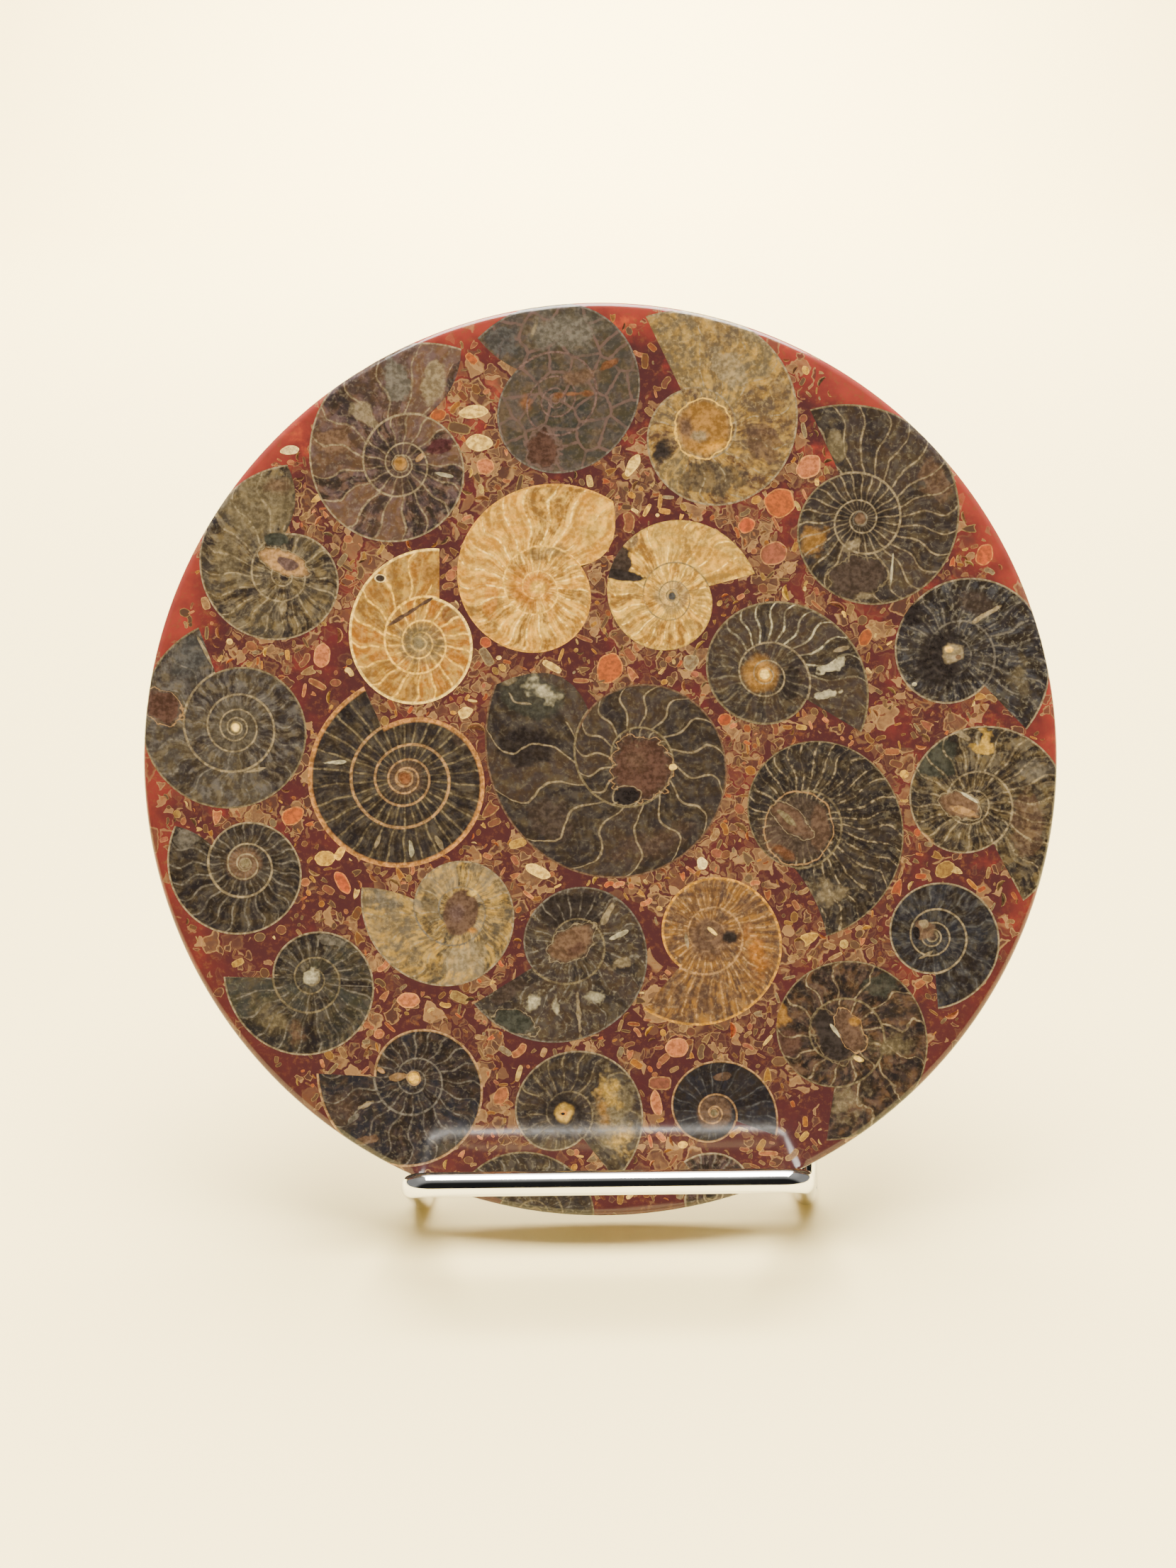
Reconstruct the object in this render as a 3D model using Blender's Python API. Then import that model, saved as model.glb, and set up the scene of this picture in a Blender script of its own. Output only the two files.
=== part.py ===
"""Ammonite mosaic plate on a small wire stand.

A round cast plate, with the polished halves of many ammonites and chips of shell set flush in its
face, leans back on a stand bent from round wire. Metres, +Z up; the polished face looks along -Y.
The origin is on the table, under the middle of the whole part.

The plate is modelled lying in its own frame: x to the right, y up the face, z out of the face,
with the centre of the face at the origin. An empty then leans it back. The stand is modelled
directly in world axes, from points given in the plate's frame where it touches the plate.
"""
import math
import random
from dataclasses import dataclass

import bmesh
import bpy
from mathutils import Matrix, Vector

MM = 0.001

# Plate
PLATE_RADIUS = 75.0 * MM
PLATE_THICKNESS = 9.0 * MM
PLATE_SEGMENTS = 96
RIM_ROUNDING = 1.2 * MM
RIM_STEPS = 2
LEAN_BACK = math.radians(22.0)
TURN_ON_STAND = math.radians(-0.8)
FACE_FOOT_HEIGHT = 6.3 * MM          # lowest point of the face's edge, above the table

# Inlays
GAP = 0.3 * MM                       # clearance between pieces that touch
AMMONITE_DEPTH = 5.0 * MM
CHIP_DEPTH = 2.4 * MM
OUTLINE_STEP = 3.4 * MM              # length of one facet along a shell's edge
TRIM_OVERSHOOT = 1.0 * MM            # how far a trimmed block stands past the face before the cut

# Stand
WIRE_RADIUS = 1.9 * MM
WIRE_SIDES = 12
STAND_MIDDLE = 1.5 * MM              # the plate sits a little left of the stand's middle
BAR_MIDDLE = 0.3 * MM                # the bar is bent a little off the feet's middle
BAR_LENGTH = 65.2 * MM               # over the outsides of the front bar's bends
BAR_UP = 9.7 * MM                    # up the face from its lowest point
BAR_AHEAD = 14.5 * MM                # in front of the face
FOOT_HALF_SPAN = 33.0 * MM           # the feet stand a little wider than the bar
FOOT_BEHIND = 11.0 * MM              # from the face's lowest point back to the foot bend
REAR_BEHIND = 72.0 * MM              # from the face's lowest point back to the rear bar
BACK_POST_UP = 84.0 * MM             # up the plate's back from its lowest point
POST_FOOT_Z = 5.8 * MM                # the back posts are cut level above the legs' bends
BEND_RADIUS = 3.6 * MM
FOOT_BEND_RADIUS = 5.0 * MM
BACK_BEND_RADIUS = 6.5 * MM
BEND_STEPS = 5
STUB = 1.0 * MM                      # straight wire past a bend, where the next piece starts

COS_LEAN = math.cos(LEAN_BACK)
SIN_LEAN = math.sin(LEAN_BACK)
WIRE_CORNER = WIRE_RADIUS / math.cos(math.pi / WIRE_SIDES)
BAR_OFFSET_Y = BAR_UP * SIN_LEAN - BAR_AHEAD * COS_LEAN
FOOT_Y = -(REAR_BEHIND + BAR_OFFSET_Y) / 2.0     # puts the origin midway between front and back


@dataclass(frozen=True)
class Ammonite:
    """A halved ammonite: a self-repeating spiral around its hub, in millimetres on the face."""

    name: str
    hub: tuple
    mouth: float            # bearing of the mouth's outer lip, in degrees
    radii: tuple            # from the hub: at the outer lip and at each quarter turn back from it
    turn: int = -1          # the way the shell grows: -1 clockwise, 1 anticlockwise
    skew: float = 0.0       # degrees by which the inner lip lags the outer lip
    bulge: float = 0.0      # millimetres by which the mouth's edge bows forwards
    trimmed: bool = False   # cut off by the plate's rim
    colour: tuple = (0.10, 0.08, 0.06)


@dataclass(frozen=True)
class Chip:
    """A flat chip of shell or stone, in millimetres on the face."""

    name: str
    centre: tuple
    size: tuple
    bearing: float
    corners: int = 7
    colour: tuple = (0.75, 0.42, 0.24)


BLACK = (0.055, 0.045, 0.035)
BROWN = (0.16, 0.10, 0.055)
OLIVE = (0.30, 0.25, 0.13)
GOLD = (0.55, 0.33, 0.09)
TAN = (0.55, 0.45, 0.24)

AMMONITES = (
    Ammonite("ammonite_01", (-32.3, 48.8), 62, (21.0, 15.8, 13.4, 10.9, 8.7), bulge=1.5,
             trimmed=True, colour=BLACK),
    Ammonite("ammonite_02", (-7.2, 59.2), 142, (16.0, 15.4, 12.4, 11.4, 7.8), turn=1,
             bulge=0.5, trimmed=True, colour=BLACK),
    Ammonite("ammonite_03", (16.5, 54.0), 116, (20.6, 16.6, 12.9, 9.4, 7.4), turn=1,
             trimmed=True, colour=BROWN),
    Ammonite("ammonite_04", (42.4, 39.8), 115, (19.5, 16.6, 14.7, 11.0, 7.9), turn=1,
             trimmed=True, colour=BLACK),
    Ammonite("ammonite_05", (-51.5, 30.5), 88, (18.2, 13.7, 10.3, 8.9, 7.0), bulge=1.5,
             trimmed=True, colour=BROWN),
    Ammonite("ammonite_06", (-29.4, 19.6), 78, (15.8, 11.8, 10.1, 8.8, 7.8), skew=-12,
             colour=GOLD),
    Ammonite("ammonite_07", (-10.5, 28.6), 48, (19.0, 14.3, 11.0, 10.0, 7.7), skew=-22,
             bulge=3.0, colour=GOLD),
    Ammonite("ammonite_08", (11.8, 27.3), 15, (14.0, 12.0, 10.2, 8.4, 6.2), colour=TAN),
    Ammonite("ammonite_09", (27.0, 14.6), -31, (18.4, 12.8, 10.3, 8.4, 8.0), colour=BLACK),
    Ammonite("ammonite_10", (57.7, 18.0), -46, (17.3, 14.1, 10.3, 9.0, 7.4), trimmed=True,
             colour=BLACK),
    Ammonite("ammonite_11", (-59.6, 5.9), 110, (17.4, 15.0, 12.8, 11.2, 9.5), trimmed=True,
             colour=BLACK),
    Ammonite("ammonite_12", (-31.9, -2.4), 114, (16.4, 15.8, 14.2, 12.4, 9.1), colour=BLACK),
    Ammonite("ammonite_13", (6.0, 1.0), 153, (26.0, 21.2, 15.8, 12.6, 10.6), skew=-18,
             bulge=4.3, colour=BLACK),
    Ammonite("ammonite_14", (33.3, -9.6), -78, (19.2, 15.9, 12.6, 8.5, 7.4), skew=-22,
             bulge=-0.8, colour=BLACK),
    Ammonite("ammonite_15", (61.0, -6.6), -62, (18.0, 14.9, 11.7, 9.6, 7.4), trimmed=True,
             colour=BROWN),
    Ammonite("ammonite_16", (-58.2, -16.4), 152, (13.1, 12.3, 10.0, 7.2, 6.2), bulge=0.5,
             colour=BLACK),
    Ammonite("ammonite_17", (-22.9, -24.1), 167, (16.6, 12.9, 9.1, 8.2, 7.7), bulge=0.5,
             colour=OLIVE),
    Ammonite("ammonite_18", (-4.2, -29.3), 212, (19.4, 14.6, 10.6, 8.4, 8.1), colour=BLACK),
    Ammonite("ammonite_19", (18.2, -27.7), 229, (16.8, 13.2, 9.9, 8.3, 7.6), colour=GOLD),
    Ammonite("ammonite_20", (39.9, -44.7), 262, (17.6, 14.2, 12.4, 10.9, 8.7), trimmed=True,
             colour=BROWN),
    Ammonite("ammonite_21", (54.6, -28.4), 275, (12.0, 10.9, 8.7, 6.9, 6.1), colour=BLACK),
    Ammonite("ammonite_22", (-47.3, -35.4), 179, (14.6, 12.7, 10.1, 7.7, 6.5), colour=BLACK),
    Ammonite("ammonite_23", (-30.6, -52.0), 177, (16.1, 14.7, 11.3, 8.2, 6.6), trimmed=True,
             colour=BLACK),
    Ammonite("ammonite_24", (-5.8, -57.9), -52, (13.9, 12.4, 9.0, 7.4, 5.0), colour=OLIVE),
    Ammonite("ammonite_25", (18.9, -57.6), -20, (11.0, 9.0, 7.4, 5.2, 3.9), colour=BLACK),
    Ammonite("ammonite_26", (-10.5, -74.4), 158, (13.0, 9.6, 9.6, 8.0, 6.0), turn=1,
             trimmed=True, colour=BLACK),
    Ammonite("ammonite_27", (18.5, -71.2), 130, (7.2, 7.0, 6.3, 5.0, 3.8), turn=1,
             trimmed=True, colour=BLACK),
)

ORANGE = (0.80, 0.33, 0.10)
PINK = (0.70, 0.40, 0.27)
CREAM = (0.80, 0.65, 0.42)
CHIP_GREY = (0.50, 0.42, 0.36)

CHIPS = (
    Chip("chip_orange_pebble", (29.3, 42.4), (5.2, 5.0), 20, 9, ORANGE),
    Chip("chip_pink_block", (34.0, 48.2), (5.0, 4.6), 45, 5, PINK),
    Chip("chip_orange_slab", (1.6, 15.6), (5.6, 4.6), 70, 7, ORANGE),
    Chip("chip_cream_bean", (-19.6, 52.2), (4.4, 3.0), 0, 8, CREAM),
    Chip("chip_pink_bean", (-18.6, 48.4), (3.4, 2.8), -20, 6, PINK),
    Chip("chip_cream_tooth", (-20.4, 57.2), (5.6, 2.4), 5, 6, CREAM),
    Chip("chip_grey_lozenge", (14.9, 16.6), (3.4, 2.8), 60, 5, CHIP_GREY),
    Chip("chip_cream_rim", (-50.3, 51.0), (3.4, 1.6), 5, 7, CREAM),
    Chip("chip_cream_rod", (5.4, 48.6), (4.4, 2.2), 60, 5, CREAM),
    Chip("chip_orange_shard", (23.8, 38.8), (3.4, 2.8), 30, 5, ORANGE),
    Chip("chip_amber", (62.6, 34.0), (4.0, 3.4), 60, 5, ORANGE),
    Chip("chip_tan_leaf", (-45.4, 17.6), (4.2, 3.0), 80, 6, PINK),
    Chip("chip_orange_leaf", (-42.2, -19.6), (4.8, 2.4), -65, 6, ORANGE),
    Chip("chip_cream_cube", (16.8, -16.4), (2.6, 2.2), 80, 5, CREAM),
    Chip("chip_cream_bar", (-10.0, -17.8), (5.0, 2.2), -25, 6, CREAM),
    Chip("chip_orange_knob", (-50.4, -8.6), (4.2, 3.0), 30, 7, ORANGE),
    Chip("chip_tan_heart", (12.8, -46.8), (4.4, 3.6), 0, 6, PINK),
    Chip("chip_tan_strip", (9.4, -56.0), (5.0, 1.9), 100, 7, PINK),
    Chip("chip_tan_flake", (-31.4, -39.0), (4.2, 3.0), 0, 6, PINK),
    Chip("chip_pink_cluster", (28.2, 34.2), (5.0, 4.4), 30, 7, PINK),
    Chip("chip_cream_wedge", (-22.0, 8.3), (3.2, 2.0), 20, 5, CREAM),
)

RESIN_RED = (0.30, 0.035, 0.025)
CHROME = (0.82, 0.83, 0.84)


def clear_scene():
    """Empty the file of every object."""
    for thing in list(bpy.data.objects):
        bpy.data.objects.remove(thing, do_unlink=True)


def finish(name, colour, roughness=0.12, metallic=0.0):
    """Make one plain material."""
    material = bpy.data.materials.new(name)
    material.use_nodes = True
    shader = material.node_tree.nodes["Principled BSDF"]
    shader.inputs["Base Color"].default_value = (*colour, 1.0)
    shader.inputs["Roughness"].default_value = roughness
    shader.inputs["Metallic"].default_value = metallic
    material.diffuse_color = (*colour, 1.0)
    return material


def add_object(name, mesh, material=None, parent=None):
    """Link a mesh into the scene as a named object."""
    thing = bpy.data.objects.new(name, mesh)
    bpy.context.scene.collection.objects.link(thing)
    if material:
        mesh.materials.append(material)
    thing.parent = parent
    return thing


def hide_as_cutter(thing):
    """Keep a cutting shape out of the finished part."""
    thing.hide_render = True
    thing.display_type = "WIRE"


def mesh_from(name, build):
    """Fill a new mesh by calling build with an empty bmesh."""
    shape = bmesh.new()
    build(shape)
    bmesh.ops.recalc_face_normals(shape, faces=shape.faces)
    mesh = bpy.data.meshes.new(name)
    shape.to_mesh(mesh)
    shape.free()
    return mesh


def extrude_outline(shape, outline, top, bottom):
    """Add the block between two levels that has this outline."""
    upper = [shape.verts.new((x, y, top)) for x, y in outline]
    lower = [shape.verts.new((x, y, bottom)) for x, y in outline]
    shape.faces.new(upper)
    shape.faces.new(reversed(lower))
    for i, vert in enumerate(upper):
        j = (i + 1) % len(upper)
        shape.faces.new((vert, lower[i], lower[j], upper[j]))


def spiral_radius(radii, quarters):
    """Radius after going back this many quarter turns: one turn, repeated at an even ratio."""
    shrink = math.log(radii[4] / radii[0])

    def level(index):
        turns, rest = divmod(index, 4)
        return math.log(radii[rest]) + turns * shrink

    start = math.floor(quarters)
    t = quarters - start
    a, b, c, d = (level(start + k) for k in (-1, 0, 1, 2))
    slope_in, slope_out = (c - a) / 2.0, (d - b) / 2.0
    h = t * t * (3.0 - 2.0 * t)
    value = b * (1.0 - h) + c * h + slope_in * t * (1.0 - t) ** 2 - slope_out * t * t * (1.0 - t)
    return math.exp(value)


def ammonite_outline(shell):
    """The shell's edge: once round the outer whorl, then across the mouth. Anticlockwise."""
    sweep = 2.0 * math.pi + math.radians(shell.skew)
    count = max(20, min(38, round(2.0 * math.pi * shell.radii[1] * MM / OUTLINE_STEP)))
    points = []
    for i in range(count + 1):
        back = sweep * i / count
        bearing = math.radians(shell.mouth) - shell.turn * back
        radius = spiral_radius(shell.radii, back / (math.pi / 2.0))
        points.append(Vector((math.cos(bearing), math.sin(bearing))) * radius + Vector(shell.hub))
    inner_lip, outer_lip = points[-1], points[0]
    mouth_bearing = math.radians(shell.mouth)
    forwards = Vector((-math.sin(mouth_bearing), math.cos(mouth_bearing))) * shell.turn
    if shell.bulge:
        for t in (0.25, 0.5, 0.75):
            bow = forwards * shell.bulge * 4.0 * t * (1.0 - t)
            points.append(inner_lip.lerp(outer_lip, t) + bow)
    if shell.turn > 0:
        points.reverse()
    return [(p.x * MM, p.y * MM) for p in points]


def chip_outline(chip):
    """An uneven rounded polygon, the same each time for one chip."""
    dice = random.Random(chip.name)
    half_length, half_width = chip.size[0] / 2.0, chip.size[1] / 2.0
    bearing = math.radians(chip.bearing)
    points = []
    for i in range(chip.corners):
        angle = 2.0 * math.pi * (i + dice.uniform(-0.2, 0.2)) / chip.corners
        along = half_length * math.cos(angle) * dice.uniform(0.9, 1.1)
        across = half_width * math.sin(angle) * dice.uniform(0.9, 1.1)
        x = chip.centre[0] + along * math.cos(bearing) - across * math.sin(bearing)
        y = chip.centre[1] + along * math.sin(bearing) + across * math.cos(bearing)
        points.append((x * MM, y * MM))
    return points


def grown(outline, distance):
    """Move every edge of an anticlockwise outline outwards."""
    result = []
    count = len(outline)
    for i in range(count):
        before, here, after = (Vector(outline[(i + k) % count]) for k in (-1, 0, 1))
        into, out = (here - before).normalized(), (after - here).normalized()
        normal_in = Vector((into.y, -into.x))
        normal_out = Vector((out.y, -out.x))
        middle = (normal_in + normal_out).normalized()
        reach = distance / max(0.45, middle.dot(normal_in))
        result.append(tuple(here + middle * reach))
    return result


def plate_blank(name, material=None, parent=None):
    """The turned plate before anything is let into it."""
    def build(shape):
        ring = [
            (PLATE_RADIUS * math.cos(2.0 * math.pi * i / PLATE_SEGMENTS),
             PLATE_RADIUS * math.sin(2.0 * math.pi * i / PLATE_SEGMENTS))
            for i in range(PLATE_SEGMENTS)
        ]
        extrude_outline(shape, ring, 0.0, -PLATE_THICKNESS)

    blank = add_object(name, mesh_from(name, build), material, parent)
    rounding = blank.modifiers.new("rim rounding", "BEVEL")
    rounding.width = RIM_ROUNDING
    rounding.segments = RIM_STEPS
    rounding.limit_method = "ANGLE"
    rounding.angle_limit = math.radians(30.0)
    return blank


def boolean(thing, cutter, operation):
    """Cut or keep the part of a shape that a cutter covers."""
    step = thing.modifiers.new(operation.lower(), "BOOLEAN")
    step.operation = operation
    step.solver = "EXACT"
    step.object = cutter


def build_plate():
    """The leaning plate: the resin with its pockets, and every inlay in its place."""
    lean = bpy.data.objects.new("plate_frame", None)
    bpy.context.scene.collection.objects.link(lean)
    lean.rotation_mode = "ZYX"
    lean.rotation_euler = (math.pi / 2.0 - LEAN_BACK, 0.0, TURN_ON_STAND)
    lean.location = plate_point(0.0, PLATE_RADIUS, 0.0)

    rim_cutter = plate_blank("rim_cutter", parent=lean)
    hide_as_cutter(rim_cutter)

    pockets = []
    for shell in AMMONITES:
        outline = ammonite_outline(shell)
        top = TRIM_OVERSHOOT if shell.trimmed else 0.0
        mesh = mesh_from(shell.name, lambda shape: extrude_outline(
            shape, outline, top, -AMMONITE_DEPTH))
        inlay = add_object(shell.name, mesh, finish(shell.name, shell.colour), lean)
        if shell.trimmed:
            boolean(inlay, rim_cutter, "INTERSECT")
        pockets.append((grown(outline, GAP), AMMONITE_DEPTH + GAP))
    for chip in CHIPS:
        outline = chip_outline(chip)
        mesh = mesh_from(chip.name, lambda shape: extrude_outline(
            shape, outline, 0.0, -CHIP_DEPTH))
        add_object(chip.name, mesh, finish(chip.name, chip.colour), lean)
        pockets.append((grown(outline, GAP), CHIP_DEPTH + GAP))

    def build_pockets(shape):
        for outline, depth in pockets:
            extrude_outline(shape, outline, TRIM_OVERSHOOT, -depth)

    pocket_cutter = add_object("pocket_cutter", mesh_from("pocket_cutter", build_pockets),
                               parent=lean)
    hide_as_cutter(pocket_cutter)
    resin = plate_blank("resin_plate", finish("resin_plate", RESIN_RED, 0.08), lean)
    boolean(resin, pocket_cutter, "DIFFERENCE")


def plate_point(x, up, behind):
    """World place of a point on the leaning plate: up from the face's lowest point."""
    return Vector((
        x,
        FOOT_Y + up * SIN_LEAN + behind * COS_LEAN,
        FACE_FOOT_HEIGHT + up * COS_LEAN - behind * SIN_LEAN,
    ))


def rounded_path(corners, radius):
    """A path through these corners, each turned in an arc of the given radius."""
    path = [corners[0]]
    for before, corner, after in zip(corners, corners[1:], corners[2:]):
        into = (corner - before).normalized()
        out = (after - corner).normalized()
        turn = into.angle(out)
        reach = radius * math.tan(turn / 2.0)
        axis = into.cross(out).normalized()
        centre = corner - into * reach + axis.cross(into) * radius
        spoke = corner - into * reach - centre
        for i in range(BEND_STEPS + 1):
            path.append(centre + Matrix.Rotation(turn * i / BEND_STEPS, 3, axis) @ spoke)
    path.append(corners[-1])
    return path


def wire(name, path, start_cut=None, end_cut=None):
    """A round wire along a path; a cut is the normal of the plane that an end is sawn to."""
    def build(shape):
        last = len(path) - 1
        rings = []
        side = None
        for i, point in enumerate(path):
            into = (point - path[max(i - 1, 0)]).normalized() if i else None
            out = (path[min(i + 1, last)] - point).normalized() if i < last else None
            along = ((into or out) + (out or into)).normalized()
            if side is None:
                level = Vector((0.0, 0.0, 1.0))
                side = level.cross(along).normalized()
            side = (side - along * side.dot(along)).normalized()
            up = along.cross(side)
            cut = start_cut if i == 0 else end_cut if i == last else None
            ring = []
            for k in range(WIRE_SIDES):
                angle = 2.0 * math.pi * (k + 0.5) / WIRE_SIDES
                offset = (side * math.cos(angle) + up * math.sin(angle)) * WIRE_CORNER
                if cut:
                    offset -= along * (offset.dot(cut) / along.dot(cut))
                ring.append(shape.verts.new(point + offset))
            rings.append(ring)
        for ring, following in zip(rings, rings[1:]):
            for k in range(WIRE_SIDES):
                j = (k + 1) % WIRE_SIDES
                shape.faces.new((ring[k], ring[j], following[j], following[k]))
        shape.faces.new(rings[0])
        shape.faces.new(rings[-1])

    mesh = mesh_from(name, build)
    mesh.shade_smooth()
    mesh.set_sharp_from_angle(angle=math.radians(40.0))
    return add_object(name, mesh, finish(name, CHROME, 0.06, 1.0))


def build_stand():
    """Front bar, legs, base rails, rear bar, and the frame that the plate leans against."""
    half_bar = BAR_LENGTH / 2.0 - WIRE_RADIUS
    bar_left, bar_right = (
        plate_point(BAR_MIDDLE + side * half_bar, BAR_UP, -BAR_AHEAD) for side in (-1, 1))
    level = Vector((0.0, 0.0, 1.0))
    back = Vector((0.0, 1.0, 0.0))
    foot = {}
    leg_way = {}
    for side, corner in ((-1, bar_left), (1, bar_right)):
        foot[side] = Vector((
            STAND_MIDDLE + side * FOOT_HALF_SPAN, FOOT_Y + FOOT_BEHIND, WIRE_RADIUS))
        leg_way[side] = (foot[side] - corner).normalized()

    bar_reach = BEND_RADIUS + STUB
    wire("front_bar", rounded_path([
        bar_left + leg_way[-1] * bar_reach, bar_left, bar_right,
        bar_right + leg_way[1] * bar_reach], BEND_RADIUS))

    behind = PLATE_THICKNESS + GAP + WIRE_CORNER
    post_way = (plate_point(0.0, 1.0, 0.0) - plate_point(0.0, 0.0, 0.0)).normalized()
    rear_y = FOOT_Y + REAR_BEHIND
    rear_reach = BACK_BEND_RADIUS + STUB
    tops = {}
    rears = {}
    for side, word, corner in ((-1, "left", bar_left), (1, "right", bar_right)):
        rail_start = foot[side] + back * (FOOT_BEND_RADIUS + STUB)
        wire(f"{word}_leg", rounded_path([
            corner + leg_way[side] * (bar_reach + GAP), foot[side], rail_start],
            FOOT_BEND_RADIUS))
        rears[side] = Vector((foot[side].x, rear_y, WIRE_RADIUS))
        wire(f"{word}_base_rail", [rail_start + back * GAP, rears[side] - back * rear_reach])
        tops[side] = plate_point(foot[side].x, BACK_POST_UP, behind)
        drop = (tops[side].z - POST_FOOT_Z) / post_way.z
        wire(f"{word}_back_post", [
            tops[side] - post_way * drop, tops[side] - post_way * rear_reach],
            start_cut=level)
    wire("rear_bar", rounded_path([
        rears[-1] - back * (rear_reach - GAP), rears[-1], rears[1],
        rears[1] - back * (rear_reach - GAP)], BACK_BEND_RADIUS))
    wire("back_bar", rounded_path([
        tops[-1] - post_way * (rear_reach - GAP), tops[-1], tops[1],
        tops[1] - post_way * (rear_reach - GAP)], BACK_BEND_RADIUS))


def main():
    """Build the whole part."""
    clear_scene()
    build_plate()
    build_stand()


main()
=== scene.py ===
"""Looks of the ammonite mosaic plate: a round cast-resin plate, polished flat across the halves of
twenty-seven ammonites and many chips of shell, leaning back on a chromed wire stand.

Face sizes are in millimetres on the plate's face, with x to the right and y up from its middle.
Meshes are shaped in the plate's own frame, in metres, and then leaned back into place.
"""
from __future__ import annotations

import logging
import math
import random
from collections.abc import Callable
from dataclasses import dataclass, field, replace
from enum import Enum

import bmesh
import bpy
import numpy as np
from mathutils import Euler, Matrix, Vector


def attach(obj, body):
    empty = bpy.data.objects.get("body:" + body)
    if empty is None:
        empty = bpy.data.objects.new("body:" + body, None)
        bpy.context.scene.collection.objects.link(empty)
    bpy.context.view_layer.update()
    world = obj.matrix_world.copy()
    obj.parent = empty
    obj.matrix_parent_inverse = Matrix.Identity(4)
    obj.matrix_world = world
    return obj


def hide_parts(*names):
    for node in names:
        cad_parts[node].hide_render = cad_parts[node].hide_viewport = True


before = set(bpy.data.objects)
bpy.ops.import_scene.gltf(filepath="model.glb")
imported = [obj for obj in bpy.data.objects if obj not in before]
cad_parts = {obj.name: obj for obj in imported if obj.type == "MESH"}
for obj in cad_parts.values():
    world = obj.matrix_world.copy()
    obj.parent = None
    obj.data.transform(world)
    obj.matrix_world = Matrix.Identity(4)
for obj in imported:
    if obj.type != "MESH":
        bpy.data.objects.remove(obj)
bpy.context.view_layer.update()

LOG = logging.getLogger("ammonite_plate")
MM = 0.001

Colour = tuple[float, float, float]
Line = list[tuple[float, float]]
Piece = bpy.types.Object


class Tone(Enum):
    """The colours that the calcite, shell, chips and resin come in."""

    JET = (0.0165, 0.0138, 0.0155)
    BLACK = (0.025, 0.0205, 0.0215)
    UMBER = (0.045, 0.033, 0.030)
    BROWN = (0.081, 0.0505, 0.039)
    RUST = (0.15, 0.062, 0.030)
    AMBER = (0.36, 0.137, 0.022)
    GOLD = (0.53, 0.26, 0.035)
    STRAW = (0.80, 0.48, 0.082)
    CREAM = (0.86, 0.60, 0.168)
    IVORY = (0.90, 0.74, 0.36)
    OLIVE = (0.060, 0.051, 0.041)
    KHAKI = (0.135, 0.109, 0.068)
    MOSS = (0.0335, 0.0355, 0.032)
    SLATE = (0.053, 0.053, 0.058)
    ASH = (0.108, 0.098, 0.088)
    BONE = (0.215, 0.172, 0.112)
    FROST = (0.40, 0.365, 0.26)
    MAUVE = (0.105, 0.068, 0.066)
    INK = (0.0185, 0.0190, 0.0265)
    BLUSH = (0.50, 0.17, 0.075)
    ROSE = (0.28, 0.089, 0.058)
    CARNELIAN = (0.41, 0.098, 0.028)
    MAROON = (0.052, 0.0185, 0.0235)
    CRIMSON = (0.098, 0.0205, 0.0255)
    LIVER = (0.060, 0.033, 0.028)
    COCOA = (0.104, 0.064, 0.045)
    SAND = (0.31, 0.182, 0.085)
    OCHRE = (0.235, 0.122, 0.036)
    HAY = (0.43, 0.272, 0.063)
    COPPER = (0.40, 0.185, 0.060)
    # Also the painted glow at the resin's rim.
    EMBER = (0.255, 0.040, 0.032)
    FLAME = (0.45, 0.088, 0.033)


@dataclass(frozen=True)
class Patch:
    """A blotch or inset of another colour on a shell's face, in millimetres on the face.

    An under patch colours the chambers and leaves the septa drawn over it; any other patch covers
    them. Ragged is how far its edge strays, as a share of its size. Outline is an edge line.
    """

    centre: tuple[float, float]
    size: tuple[float, float]
    bearing: float = 0.0
    fill: Tone = Tone.UMBER
    under: bool = True
    ragged: float = 0.35
    amount: float = 1.0
    soft: float = 0.25
    outline: Tone | None = None
    outline_width: float = 0.3


@dataclass(frozen=True)
class Section:
    """The polished section of one shell: its chambers, septa and walls.

    Lean, belly and snake bend the septa, in chambers. Waver makes them wander. Line, wall and
    shell are widths in millimetres: of a septum, of the wall between whorls, of the outer shell.
    Septa stand out between the two turns back from the mouth in shown, and are faint elsewhere.
    Web is the strength of a coarse net of pale cracks.
    """

    chambers: float = 22.0
    lean: float = 0.4
    belly: float = 0.1
    snake: float = 0.22
    waver: float = 0.32
    line: float = 0.3
    wall: float = 0.34
    shell: float = 0.34
    shown: tuple[float, float] = (0.0, 9.0)
    broken: float = 0.6
    dark: Tone = Tone.JET
    mid: Tone = Tone.BLACK
    light: Tone = Tone.OLIVE
    septa: Tone = Tone.BONE
    walls: Tone = Tone.BONE
    rind: Tone = Tone.BONE
    mottle: float = 0.7
    grain: float = 0.35
    fleck: float = 0.25
    web: float = 0.0
    core: float = 0.9
    core_fill: Tone = Tone.UMBER
    core_edge: Tone = Tone.KHAKI


@dataclass(frozen=True)
class Shell:
    """One halved ammonite, in millimetres on the face."""

    number: int
    hub: tuple[float, float]
    mouth: float                    # bearing of the mouth's outer lip, in degrees
    radii: tuple[float, ...]        # at the outer lip and at each quarter turn back from it
    section: Section
    patches: tuple[Patch, ...] = ()
    turn: int = -1                  # -1 grows clockwise, 1 anticlockwise
    skew: int = 0                   # degrees by which the inner lip lags the outer lip
    bulge: float = 0.0              # how far the mouth's edge bows forwards
    trimmed: bool = False           # cut off by the plate's rim

    @property
    def name(self) -> str:
        """The shell's name, which is also its node's."""
        return f"ammonite_{self.number:02d}"


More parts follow.
